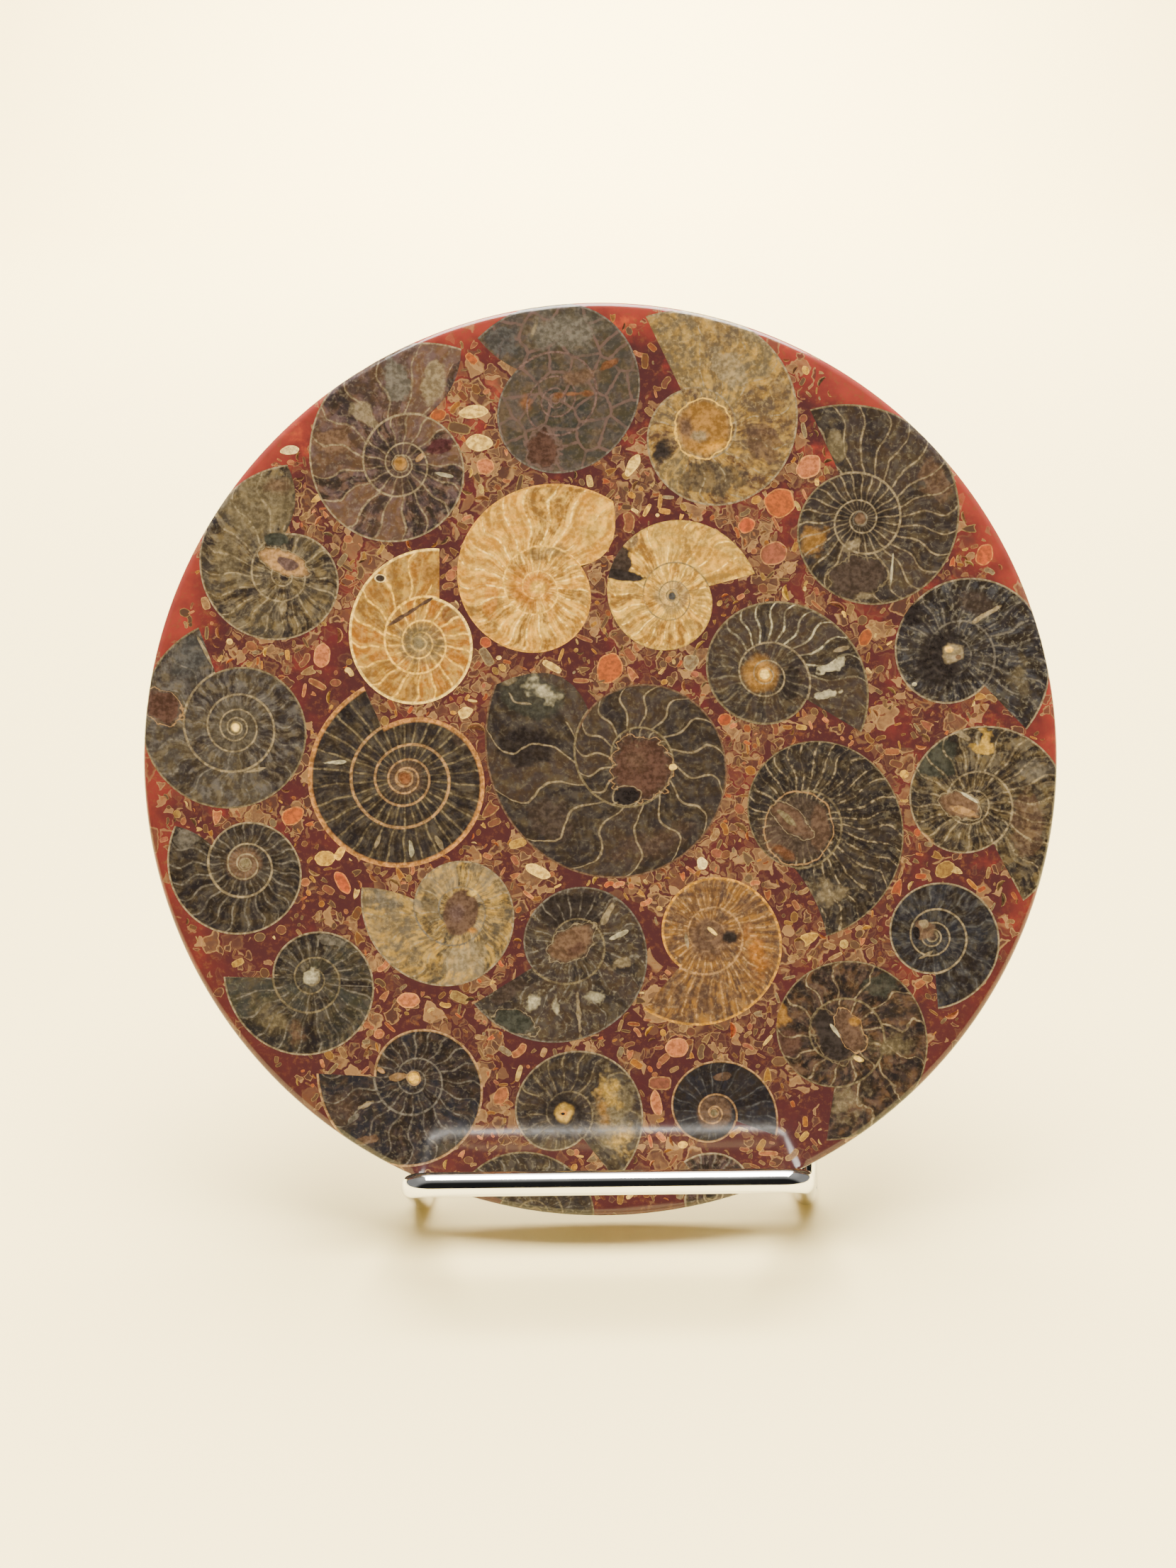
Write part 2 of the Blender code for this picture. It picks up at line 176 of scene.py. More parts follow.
def spot(x: float, y: float, length: float, width: float, bearing: float, fill: Tone,
         *manner: float, **more: object) -> Patch:
    """Shorten the writing of one patch."""
    return Patch((x, y), (length, width), bearing, fill, True, *manner, **more)


def cover(*numbers: object, **more: object) -> Patch:
    """Shorten the writing of one patch that hides the septa, with the same arguments."""
    return replace(spot(*numbers, **more), under=False)


# Each patch says its place, size, bearing and colour, then how ragged, strong and soft it is.
SHELLS: tuple[Shell, ...] = (
    Shell(1, (-32.3, 48.8), 62, (21.0, 15.8, 13.4, 10.9, 8.7), Section(
        chambers=17, snake=0.2, broken=0.45, dark=Tone.BLACK, mid=Tone.COCOA, light=Tone.MAUVE,
        mottle=0.8, core=1.4, core_fill=Tone.OCHRE, core_edge=Tone.BONE,
    ), (
        spot(-27.0, 62.0, 8.0, 4.6, 80, Tone.BONE, 0.6, 0.7),
        spot(-33.0, 62.0, 8.0, 4.4, 105, Tone.ASH, 0.6, 0.9),
        spot(-38.5, 57.0, 6.0, 3.4, 130, Tone.BONE, 0.6, 0.6),
        spot(-43.6, 52.4, 7.0, 4.4, 0, Tone.COCOA, 0.5),
        spot(-32.3, 48.8, 10.0, 10.0, 0, Tone.BLACK, 0.15, 0.45),
        cover(-26.0, 51.6, 5.2, 2.8, 15, Tone.MAROON, 0.4, 0.9),
        cover(-29.2, 49.8, 2.0, 1.0, 40, Tone.SAND, 0.6, 0.8),
        cover(-25.2, 47.0, 3.2, 0.7, -12, Tone.FROST, 0.6, 0.7),
    ), bulge=1.5, trimmed=True),
    Shell(2, (-7.2, 59.2), 142, (16.0, 15.4, 12.4, 11.4, 7.8), Section(
        chambers=5, lean=0.55, waver=0.3, line=0.2, shown=(8.0, 9.0), dark=Tone.MOSS,
        mid=Tone.OLIVE, light=Tone.MAUVE, septa=Tone.MAUVE, walls=Tone.MAUVE, rind=Tone.ASH,
        mottle=0.15, fleck=0.1, web=0.85, core=0.7, core_fill=Tone.COCOA, core_edge=Tone.MAUVE,
    ), (
        spot(-5.4, 70.0, 15.0, 7.4, 0, Tone.ASH, 0.7, 0.9, 0.6),
        spot(-15.6, 68.6, 6.0, 6.0, 0, Tone.SLATE, 0.5, 0.8),
        spot(-9.0, 51.0, 6.0, 6.6, 10, Tone.LIVER, 0.5, outline=Tone.MAUVE, outline_width=0.7),
        spot(-12.0, 58.8, 3.0, 3.4, 0, Tone.RUST, 0.8, 0.7, 0.7),
        cover(-10.6, 70.6, 0.9, 3.4, -20, Tone.BONE, 1.0, 0.7, 0.8),
        cover(-3.4, 62.8, 8.6, 3.0, 8, Tone.COCOA, 1.0, 0.8, 0.7),
        cover(-4.2, 60.0, 9.0, 1.2, 3, Tone.RUST, 1.2, 0.8, 0.6),
        cover(1.6, 65.0, 3.6, 1.4, 30, Tone.RUST, 1.0, 0.8, 0.6),
    ), turn=1, bulge=0.5, trimmed=True),
    Shell(3, (16.5, 54.0), 116, (20.6, 16.6, 12.9, 9.4, 7.4), Section(
        chambers=14, lean=0.55, line=0.2, shell=0.4, broken=0.9, dark=Tone.BROWN, mid=Tone.KHAKI,
        light=Tone.HAY, mottle=0.5, grain=0.45, fleck=0.3, core_fill=Tone.SLATE,
    ), (
        spot(18.0, 46.4, 13.0, 6.0, 5, Tone.OLIVE, 0.6, 0.7),
        spot(21.0, 64.0, 8.0, 5.0, -40, Tone.BONE, 0.7, 0.6),
        spot(27.0, 52.0, 6.0, 8.0, 20, Tone.BROWN, 0.6, 0.7),
        cover(10.0, 50.6, 5.4, 4.0, 15, Tone.BLACK, 0.6, 1.0, 0.6),
        cover(16.8, 54.4, 9.6, 9.8, 0, Tone.OCHRE, 0.14, outline=Tone.STRAW, outline_width=0.4),
        cover(13.9, 54.4, 4.0, 6.6, 20, Tone.COCOA, 0.5, 1.0, 0.8),
        cover(18.6, 51.4, 5.6, 2.4, 20, Tone.GOLD, 0.6, 0.8, 0.8),
        cover(16.0, 53.2, 4.0, 2.2, 20, Tone.BONE, 0.9, 0.8, 0.6),
    ), turn=1, trimmed=True),
    Shell(4, (42.4, 39.8), 115, (19.5, 16.6, 14.7, 11.0, 7.9), Section(
        chambers=26, lean=0.5, snake=0.24, line=0.26, broken=0.45, dark=Tone.BLACK, mid=Tone.UMBER,
        rind=Tone.KHAKI, core=1.1, core_fill=Tone.COCOA, core_edge=Tone.ASH,
    ), (
        spot(38.6, 51.6, 3.0, 6.0, 10, Tone.KHAKI, 0.5, 0.8),
        spot(34.6, 36.4, 5.4, 6.4, 10, Tone.OCHRE, 1.0, 0.9, 0.8),
        spot(54.6, 46.0, 5.0, 8.0, 30, Tone.COCOA, 0.6, 0.6),
        spot(42.4, 39.8, 9.0, 9.0, 0, Tone.JET, 0.1, 0.7),
        cover(42.0, 30.4, 10.4, 6.8, 12, Tone.UMBER, 0.3, outline=Tone.KHAKI),
        cover(43.4, 27.2, 3.4, 1.6, 0, Tone.BONE, 1.2, 0.6, 0.6),
        cover(47.6, 31.6, 0.5, 5.2, -4, Tone.FROST, 0.5, 0.8),
        cover(41.2, 35.7, 3.0, 2.2, 30, Tone.BONE, 1.2, 0.8, 0.6),
    ), turn=1, trimmed=True),
    Shell(5, (-51.5, 30.5), 88, (18.2, 13.7, 10.3, 8.9, 7.0), Section(
        chambers=20, lean=0.55, line=0.24, broken=0.7, dark=Tone.BLACK, mid=Tone.OLIVE,
        light=Tone.KHAKI, mottle=0.9, grain=0.5, fleck=0.2, core_fill=Tone.BLACK,
    ), (
        spot(-55.5, 42.0, 13.0, 11.0, 45, Tone.KHAKI, 0.7, 0.6),
        spot(-61.0, 34.0, 5.0, 8.0, 0, Tone.KHAKI, 0.7, 0.5),
        spot(-52.6, 45.4, 5.0, 4.0, 0, Tone.COCOA, 0.8, 0.7, 0.8),
        cover(-52.8, 36.6, 4.6, 2.6, 0, Tone.MOSS, 0.5),
        cover(-51.4, 32.8, 8.6, 4.2, -22, Tone.SAND, 0.35, outline=Tone.BONE),
        cover(-51.0, 32.6, 3.6, 2.2, -22, Tone.MAUVE, 0.6),
        cover(-51.9, 25.4, 1.8, 2.2, 0, Tone.BONE, 0.8, 0.7),
    ), bulge=1.5, trimmed=True),
    Shell(6, (-29.4, 19.6), 78, (15.8, 11.8, 10.1, 8.8, 7.8), Section(
        chambers=17, lean=0.7, snake=0.15, line=0.4, wall=0.4, shell=0.55, broken=0.25,
        dark=Tone.OCHRE, mid=Tone.AMBER, light=Tone.HAY, septa=Tone.STRAW, walls=Tone.STRAW,
        rind=Tone.CREAM, mottle=0.8, grain=0.55, fleck=0.2, core=1.2, core_fill=Tone.KHAKI,
        core_edge=Tone.CREAM,
    ), (
        spot(-29.0, 19.6, 9.0, 8.0, 0, Tone.KHAKI, 0.3, 0.6),
        spot(-28.0, 31.6, 5.0, 4.6, 0, Tone.OCHRE, 0.8, 0.8, 0.6),
        spot(-24.2, 25.0, 4.0, 5.0, 0, Tone.BROWN, 0.7, 0.6),
        cover(-29.6, 19.8, 8.4, 7.4, 0, Tone.KHAKI, 0.7, 0.85, 0.9),
        cover(-31.2, 24.6, 9.6, 0.7, 32, Tone.BROWN, 0.7),
        cover(-35.8, 30.2, 1.6, 1.2, 0, Tone.UMBER, 0.4, outline=Tone.IVORY),
    ), skew=-12),
    Shell(7, (-10.5, 28.6), 48, (19.0, 14.3, 11.0, 10.0, 7.7), Section(
        lean=0.5, wall=0.3, shell=0.45, broken=0.8, dark=Tone.OCHRE, mid=Tone.GOLD,
        light=Tone.STRAW, septa=Tone.CREAM, walls=Tone.STRAW, rind=Tone.GOLD, grain=0.5, fleck=0.2,
        core_fill=Tone.CREAM, core_edge=Tone.SAND,
    ), (
        spot(-10.8, 28.8, 11.0, 9.6, 0, Tone.AMBER, 0.35, 0.9, 0.9),
        spot(-8.0, 34.6, 9.0, 3.0, 15, Tone.KHAKI, 1.0, 0.6, 0.8),
        spot(-1.0, 38.4, 6.0, 6.0, 40, Tone.HAY, 0.8, 0.6, 0.8),
        spot(-18.0, 27.0, 3.0, 7.0, 0, Tone.AMBER, 0.8, 0.6),
        cover(-11.4, 28.8, 7.0, 6.0, 20, Tone.AMBER, 0.4, 0.8, 1.0),
        cover(-10.2, 28.6, 4.2, 3.6, 20, Tone.STRAW, 0.4, 0.9, 1.0),
    ), skew=-22, bulge=3.0),
    Shell(8, (11.8, 27.3), 15, (14.0, 12.0, 10.2, 8.4, 6.2), Section(
        lean=0.55, line=0.2, wall=0.22, shell=0.4, broken=0.9, dark=Tone.OCHRE, mid=Tone.HAY,
        light=Tone.STRAW, septa=Tone.CREAM, walls=Tone.KHAKI, rind=Tone.HAY, grain=0.45, fleck=0.2,
        core_fill=Tone.SLATE, core_edge=Tone.BONE,
    ), (
        spot(18.6, 33.0, 8.0, 4.0, -25, Tone.GOLD, 0.6, 0.5),
        spot(11.8, 27.3, 6.0, 6.0, 0, Tone.BONE, 0.3, 0.5),
        cover(2.4, 33.2, 6.4, 7.0, 40, Tone.UMBER, 0.5),
        cover(3.6, 30.6, 9.0, 2.0, -8, Tone.BLACK, 0.4),
        cover(5.2, 36.2, 3.0, 1.6, 35, Tone.ASH, 0.8, 0.5),
    )),
    Shell(9, (27.0, 14.6), -31, (18.4, 12.8, 10.3, 8.4, 8.0), Section(
        chambers=25, lean=0.5, snake=0.3, line=0.34, shell=0.4, shown=(0.12, 0.4), broken=0.7,
        dark=Tone.BLACK, mid=Tone.UMBER, septa=Tone.FROST, rind=Tone.KHAKI, fleck=0.2, core=1.0,
        core_fill=Tone.CREAM, core_edge=Tone.GOLD,
    ), (
        spot(26.2, 14.6, 7.4, 7.0, 0, Tone.OCHRE, 0.3, 0.95, 0.5),
        spot(31.0, 13.0, 4.0, 6.0, 0, Tone.JET, 0.4, 0.8),
        cover(38.0, 15.8, 5.6, 1.8, 24, Tone.FROST, 1.0, 0.75),
        cover(37.6, 11.4, 5.4, 1.5, 10, Tone.FROST, 1.0, 0.7),
        cover(39.2, 18.6, 3.4, 0.9, 20, Tone.BONE, 1.0, 0.7),
    )),
    Shell(10, (57.7, 18.0), -46, (17.3, 14.1, 10.3, 9.0, 7.4), Section(
        chambers=26, lean=0.25, snake=0.2, line=0.34, broken=0.65, light=Tone.SLATE,
        septa=Tone.ASH, walls=Tone.ASH, mottle=0.8, fleck=0.4, core=1.6, core_fill=Tone.SAND,
        core_edge=Tone.BONE,
    ), (
        spot(68.6, 14.0, 4.0, 8.0, 0, Tone.KHAKI, 1.2, 0.5, 0.9),
        cover(55.6, 17.0, 13.0, 11.6, 60, Tone.JET, 0.3, 0.9, 0.5),
        cover(50.4, 24.2, 5.0, 5.6, 40, Tone.JET, 0.5, 1.0, 0.6),
        cover(61.2, 26.2, 8.0, 5.2, -18, Tone.UMBER, 0.4, 0.8, 0.6),
        cover(62.8, 24.2, 5.6, 0.9, 30, Tone.BONE, 0.7),
        cover(51.4, 13.0, 1.0, 0.7, 0, Tone.FROST, 0.8),
        cover(57.8, 18.0, 4.2, 4.0, 0, Tone.BONE, 0.6, 1.0, 0.4),
        cover(57.0, 18.7, 1.5, 1.1, 0, Tone.STRAW, 1.0, 1.0, 0.6),
        cover(58.5, 17.3, 1.2, 1.0, 0, Tone.COCOA, 0.7),
    ), trimmed=True),
    Shell(11, (-59.6, 5.9), 110, (17.4, 15.0, 12.8, 11.2, 9.5), Section(
        chambers=17, snake=0.2, line=0.28, dark=Tone.BLACK, mid=Tone.OLIVE, light=Tone.ASH,
        septa=Tone.ASH, rind=Tone.KHAKI, mottle=0.6, fleck=0.12, core_fill=Tone.CREAM,
    ), (
        spot(-67.0, 17.4, 12.0, 9.0, 50, Tone.SLATE, 0.7, 0.9, 0.8),
        cover(-71.6, 9.2, 7.6, 5.6, -25, Tone.LIVER, 0.35, outline=Tone.SAND, outline_width=0.25),
        cover(-64.4, 18.2, 0.6, 6.6, 28, Tone.BONE, 0.5),
        cover(-56.0, -1.0, 4.4, 0.6, 12, Tone.BONE, 0.7, 0.8),
        spot(-59.6, 5.9, 9.0, 9.0, 0, Tone.OLIVE, 0.1, 0.7),
    ), trimmed=True),
    Shell(12, (-31.9, -2.4), 114, (16.4, 15.8, 14.2, 12.4, 9.1), Section(
        chambers=30, lean=0.12, belly=0.05, snake=0.06, waver=0.2, line=0.32, wall=0.5, shell=0.95,
        septa=Tone.KHAKI, walls=Tone.SAND, rind=Tone.COPPER, mottle=0.8, fleck=0.1, core=1.3,
        core_fill=Tone.RUST, core_edge=Tone.SAND,
    ), (
        spot(-31.9, -2.4, 7.6, 7.6, 0, Tone.BROWN, 0.3, 0.8, 0.6),
        spot(-22.6, 5.0, 4.0, 6.0, 40, Tone.UMBER, 0.6, 0.8),
        cover(-43.4, 0.2, 4.4, 0.8, 2, Tone.FROST, 0.8, 0.8),
        cover(-31.0, -14.0, 0.9, 3.6, 6, Tone.FROST, 1.0, 0.6),
        cover(-26.6, -12.6, 0.8, 2.8, 30, Tone.BONE, 1.0, 0.7),
        cover(-36.4, -12.8, 0.8, 2.8, -22, Tone.BONE, 1.0, 0.7),
    )),
    Shell(13, (6.0, 1.0), 153, (26.0, 21.2, 15.8, 12.6, 10.6), Section(
        chambers=15, lean=0.75, snake=0.3, waver=0.2, line=0.34, wall=0.32, broken=0.25,
        dark=Tone.BLACK, mid=Tone.UMBER, walls=Tone.KHAKI, rind=Tone.COCOA, mottle=0.6, fleck=0.15,
        core=1.0, core_fill=Tone.BROWN,
    ), (
        spot(-11.0, 11.0, 12.0, 8.0, -15, Tone.MOSS, 0.35, 0.7),
        spot(-12.0, 2.6, 11.0, 7.0, 0, Tone.JET, 0.35, 0.8),
        spot(9.0, -13.0, 19.0, 6.0, 20, Tone.BROWN, 1.0, 0.5, 1.0),
        spot(-8.0, -9.0, 9.0, 7.0, -40, Tone.UMBER, 0.6, 0.7),
        cover(-9.6, 12.2, 7.0, 4.2, -35, Tone.FROST, 1.4, 0.85, 1.0),
        cover(-14.6, 13.4, 3.4, 1.2, 20, Tone.BONE, 1.2, 0.6, 0.8),
        cover(6.8, -0.8, 10.6, 10.4, 30, Tone.LIVER, 0.42, outline=Tone.SAND, outline_width=0.34),
        cover(6.0, 0.6, 6.0, 5.0, 10, Tone.BROWN, 0.7, 0.6, 0.8),
        cover(4.4, -5.2, 4.8, 3.4, 10, Tone.JET, 0.3, outline=Tone.BONE),
        cover(12.0, -0.6, 1.2, 1.0, 0, Tone.CREAM, 0.8),
    ), skew=-18, bulge=4.3),
    Shell(14, (33.3, -9.6), -78, (19.2, 15.9, 12.6, 8.5, 7.4), Section(
        chambers=34, lean=0.5, snake=0.3, waver=0.7, line=0.26, shell=0.22, broken=0.85,
        walls=Tone.KHAKI, rind=Tone.KHAKI, mottle=0.6,
    ), (
        spot(36.0, -21.6, 12.0, 5.0, 10, Tone.BONE, 1.6, 0.6, 0.9),
        spot(29.0, -12.0, 8.0, 11.0, 0, Tone.BROWN, 0.35, 0.7, 0.8),
        cover(32.6, -10.6, 11.4, 12.4, -15, Tone.UMBER, 0.08, 0.8, outline=Tone.SAND,
              outline_width=0.34),
        cover(36.0, -10.6, 3.6, 8.0, 0, Tone.BROWN, 0.4, 0.8),
        cover(30.0, -14.4, 7.0, 2.2, -30, Tone.RUST, 0.6, 0.6, 0.8),
        cover(31.4, -9.2, 8.6, 3.8, -42, Tone.BROWN, 0.35, outline=Tone.BONE, outline_width=0.26),
        cover(30.8, -9.0, 4.6, 1.2, -42, Tone.KHAKI, 0.8),
    ), skew=-22, bulge=-0.8),
    Shell(15, (61.0, -6.6), -62, (18.0, 14.9, 11.7, 9.6, 7.4), Section(
        line=0.32, broken=0.7, light=Tone.KHAKI, mottle=0.6,
    ), (
        spot(54.6, 0.8, 8.0, 7.0, 30, Tone.MOSS, 0.6, 0.9),
        spot(70.0, -10.0, 6.0, 12.0, 0, Tone.COCOA, 0.7, 0.5),
        spot(70.6, -1.4, 6.0, 4.0, 10, Tone.ASH, 0.8, 0.5),
        cover(63.0, 2.8, 3.6, 5.0, 10, Tone.HAY, 1.5, 0.9, 0.6),
        cover(59.0, 4.8, 3.4, 1.2, -30, Tone.BONE, 0.9, 0.7),
        cover(53.0, -12.4, 4.4, 2.8, -30, Tone.SAND, 0.8, 0.7),
        cover(59.0, -6.8, 7.4, 4.4, -20, Tone.COCOA, 0.35, outline=Tone.BONE),
        cover(59.6, -7.8, 4.8, 1.5, -18, Tone.SAND, 0.6, 0.8),
        cover(60.6, -5.6, 4.6, 0.6, -32, Tone.FROST, 0.6),
    ), trimmed=True),
    Shell(16, (-58.2, -16.4), 152, (13.1, 12.3, 10.0, 7.2, 6.2), Section(
        chambers=24, lean=0.5, snake=0.3, line=0.34, wall=0.42, broken=0.4, septa=Tone.ASH,
        fleck=0.15, core_fill=Tone.KHAKI, core_edge=Tone.BONE,
    ), (
        spot(-58.4, -16.4, 6.8, 6.4, 0, Tone.COCOA, 0.2, 0.9, 0.4),
        spot(-67.6, -12.0, 5.0, 3.6, 40, Tone.ASH, 0.7, 0.6),
    ), bulge=0.5),
    Shell(17, (-22.9, -24.1), 167, (16.6, 12.9, 9.1, 8.2, 7.7), Section(
        chambers=20, lean=0.55, line=0.22, broken=0.9, dark=Tone.OLIVE, mid=Tone.BONE,
        light=Tone.HAY, walls=Tone.ASH, mottle=0.6, grain=0.4, fleck=0.2, core_fill=Tone.COCOA,
    ), (
        spot(-35.6, -22.4, 8.0, 6.0, 0, Tone.ASH, 1.0, 0.8, 0.9),
        spot(-27.6, -23.4, 3.4, 7.4, 10, Tone.OLIVE, 0.4, 0.7),
        spot(-22.0, -32.0, 9.0, 5.0, 10, Tone.BONE, 0.8, 0.6),
        cover(-22.8, -24.6, 6.0, 8.2, -12, Tone.BROWN, 0.12, 1.0, 0.15),
        cover(-23.4, -24.6, 3.6, 5.4, -10, Tone.MAUVE, 0.4, 1.0, 1.0),
        cover(-21.0, -27.4, 2.2, 1.4, 0, Tone.AMBER, 0.8, 0.7, 0.8),
        cover(-20.6, -21.2, 2.2, 1.4, 30, Tone.CREAM, 1.0, 0.5, 0.7),
    ), bulge=0.5),
    Shell(18, (-4.2, -29.3), 212, (19.4, 14.6, 10.6, 8.4, 8.1), Section(
        snake=0.25, waver=0.7, line=0.28, broken=0.8, dark=Tone.BLACK, mid=Tone.UMBER,
        septa=Tone.ASH, walls=Tone.KHAKI, rind=Tone.ASH, fleck=0.3, core_fill=Tone.BROWN,
    ), (
        spot(-5.0, -24.0, 12.0, 6.0, 0, Tone.JET, 0.5, 0.8),
        spot(-15.0, -37.6, 7.0, 2.8, 35, Tone.UMBER, 0.35, 0.8),
        cover(-14.0, -42.6, 8.0, 4.0, -20, Tone.MOSS, 0.4, outline=Tone.BONE, outline_width=0.24),
        cover(-10.8, -38.8, 4.0, 3.6, 0, Tone.FROST, 1.2, 0.75, 0.7),
        cover(-7.0, -40.6, 1.2, 3.4, 10, Tone.FROST, 1.2, 0.6, 0.7),
        cover(-3.4, -41.4, 0.8, 6.0, 4, Tone.BONE, 1.0, 0.7),
        cover(-0.8, -38.6, 3.0, 2.2, 0, Tone.FROST, 1.2, 0.7, 0.7),
        cover(3.4, -32.6, 4.4, 2.2, 20, Tone.BONE, 1.2, 0.7, 0.7),
        cover(3.0, -28.2, 6.0, 0.8, 25, Tone.FROST, 1.0, 0.7),
        cover(1.4, -24.6, 4.4, 1.3, 62, Tone.BONE, 0.6, 0.8),
        cover(-4.6, -29.6, 9.0, 5.4, 36, Tone.COCOA, 0.35, outline=Tone.BONE, outline_width=0.26),
        cover(-3.8, -30.4, 5.0, 2.6, 30, Tone.LIVER, 0.7, 0.8, 0.8),
    )),
    Shell(19, (18.2, -27.7), 229, (16.8, 13.2, 9.9, 8.3, 7.6), Section(
        chambers=34, lean=0.3, snake=0.15, waver=0.6, line=0.28, wall=0.4, shell=0.5, broken=0.85,
        dark=Tone.BROWN, mid=Tone.BROWN, light=Tone.OCHRE, septa=Tone.SAND, walls=Tone.SAND,
        rind=Tone.GOLD, mottle=0.9, grain=0.45, fleck=0.3, core_fill=Tone.BROWN,
    ), (
        spot(18.0, -28.6, 11.0, 10.0, 0, Tone.BROWN, 0.4, 0.8, 0.8),
        spot(15.0, -38.0, 16.0, 5.0, 4, Tone.BROWN, 1.4, 0.6, 1.0),
        spot(25.6, -31.0, 5.0, 11.0, 10, Tone.AMBER, 1.2, 0.6, 1.0),
        cover(18.0, -28.6, 8.8, 8.6, 0, Tone.BROWN, 0.3, 0.85, 0.5),
        cover(21.4, -28.4, 3.6, 2.6, 0, Tone.BLACK, 0.6, 1.0, 0.6),
        cover(18.6, -27.6, 2.4, 0.8, -40, Tone.CREAM, 0.8, 0.8),
        cover(14.4, -29.4, 0.7, 3.0, 10, Tone.BONE, 0.7, 0.8),
    )),
    Shell(20, (39.9, -44.7), 262, (17.6, 14.2, 12.4, 10.9, 8.7), Section(
        chambers=13, snake=0.15, waver=0.6, line=0.34, shell=0.26, light=Tone.COCOA,
        walls=Tone.KHAKI, rind=Tone.KHAKI, mottle=0.6, fleck=0.15,
    ), (
        spot(46.0, -36.5, 6.0, 4.0, 0, Tone.MOSS, 0.6, 0.8),
        spot(48.0, -46.6, 9.0, 5.0, 0, Tone.KHAKI, 1.2, 0.7, 1.0),
        spot(41.0, -56.0, 7.0, 7.0, 30, Tone.BONE, 1.5, 0.6, 1.0),
        spot(31.0, -46.0, 5.0, 5.0, 0, Tone.LIVER, 0.35, 0.8),
        cover(29.6, -41.6, 4.4, 4.4, -30, Tone.OCHRE, 0.9, 0.9, 0.6),
        cover(31.6, -50.2, 6.0, 1.6, -10, Tone.COCOA, 0.9, 0.6),
        cover(38.4, -45.0, 5.6, 10.4, 32, Tone.BLACK, 0.25, outline=Tone.KHAKI),
        cover(41.2, -43.8, 4.2, 8.0, 24, Tone.BROWN, 0.4, outline=Tone.SAND, outline_width=0.28),
        cover(41.8, -42.4, 2.6, 2.6, 30, Tone.OCHRE, 0.8, 1.0, 0.7),
        cover(38.8, -44.0, 0.7, 3.4, 36, Tone.FROST, 0.6, 0.85),
        cover(42.6, -48.6, 1.8, 1.0, -20, Tone.CREAM, 0.8, 0.8),
    ), trimmed=True),
    Shell(21, (54.6, -28.4), 275, (12.0, 10.9, 8.7, 6.9, 6.1), Section(
        chambers=18, lean=0.5, snake=0.2, broken=0.5, mid=Tone.INK, light=Tone.SLATE,
        septa=Tone.SLATE, mottle=0.5, fleck=0.12,
    ), (
        cover(53.4, -27.6, 3.2, 4.2, 20, Tone.COCOA, 0.8, 0.8),
        cover(53.2, -26.2, 1.6, 1.6, 0, Tone.BONE, 0.9, 0.7),
        cover(52.0, -27.8, 1.1, 2.2, 10, Tone.JET, 0.5),
        cover(53.6, -31.4, 2.6, 0.6, 30, Tone.BONE, 0.8, 0.7),
    )),
    Shell(22, (-47.3, -35.4), 179, (14.6, 12.7, 10.1, 7.7, 6.5), Section(
        snake=0.2, broken=0.65, mid=Tone.MOSS, septa=Tone.ASH, walls=Tone.KHAKI, fleck=0.2,
        core=1.2, core_fill=Tone.ASH,
    ), (
        spot(-54.0, -42.0, 8.0, 5.0, -40, Tone.KHAKI, 1.2, 0.7, 0.9),
        spot(-50.0, -44.6, 3.0, 5.0, 0, Tone.COCOA, 1.2, 0.7, 0.8),
        cover(-44.0, -29.2, 5.0, 1.8, -14, Tone.ASH, 0.9, 0.7),
        cover(-47.4, -35.2, 2.4, 2.6, 0, Tone.FROST, 1.6, 0.8, 0.6),
        cover(-57.6, -35.0, 10.6, 0.34, 2, Tone.BONE, 0.4, 0.9),
        cover(-41.0, -36.6, 8.6, 0.26, -2, Tone.ASH, 0.4, 0.7),
    )),
    Shell(23, (-30.6, -52.0), 177, (16.1, 14.7, 11.3, 8.2, 6.6), Section(
        chambers=20, snake=0.3, wall=0.4, shell=0.45, broken=0.5, mid=Tone.INK, light=Tone.UMBER,
        septa=Tone.ASH, walls=Tone.ASH, rind=Tone.SAND, core=1.1, core_fill=Tone.STRAW,
        core_edge=Tone.SAND,
    ), (
        spot(-42.0, -57.0, 8.0, 8.0, 0, Tone.BROWN, 1.0, 0.5, 1.0),
        cover(-38.6, -56.4, 3.6, 1.0, 24, Tone.BONE, 1.0, 0.7),
        cover(-40.6, -58.6, 3.0, 0.9, 40, Tone.ASH, 1.0, 0.8),
        cover(-38.2, -62.2, 4.0, 1.6, 10, Tone.COCOA, 0.9, 0.8),
        cover(-33.2, -51.6, 2.6, 1.4, 12, Tone.SAND, 1.0, 0.6),
        cover(-36.0, -50.6, 1.8, 1.0, -40, Tone.SAND, 0.9, 0.8),
    ), trimmed=True),
    Shell(24, (-5.8, -57.9), -52, (13.9, 12.4, 9.0, 7.4, 5.0), Section(
        chambers=20, snake=0.2, waver=0.7, line=0.28, broken=0.7, dark=Tone.BLACK, mid=Tone.UMBER,
        septa=Tone.KHAKI, walls=Tone.KHAKI, mottle=0.8, core=1.0, core_fill=Tone.CARNELIAN,
    ), (
        spot(2.6, -58.0, 8.0, 18.0, 0, Tone.KHAKI, 1.1, 0.9, 0.6),
        spot(1.6, -54.0, 4.6, 6.0, 0, Tone.HAY, 1.6, 0.8, 1.0),
        spot(3.4, -62.0, 4.4, 7.0, 10, Tone.HAY, 1.6, 0.7, 1.0),
        spot(0.6, -57.4, 2.6, 8.0, 10, Tone.OCHRE, 1.4, 0.8, 1.0),
        cover(-5.8, -57.8, 8.4, 8.4, 0, Tone.JET, 0.4, 0.8, 0.5),
        cover(-5.8, -57.8, 3.9, 3.9, 0, Tone.HAY, 0.35, 1.0, 0.5),
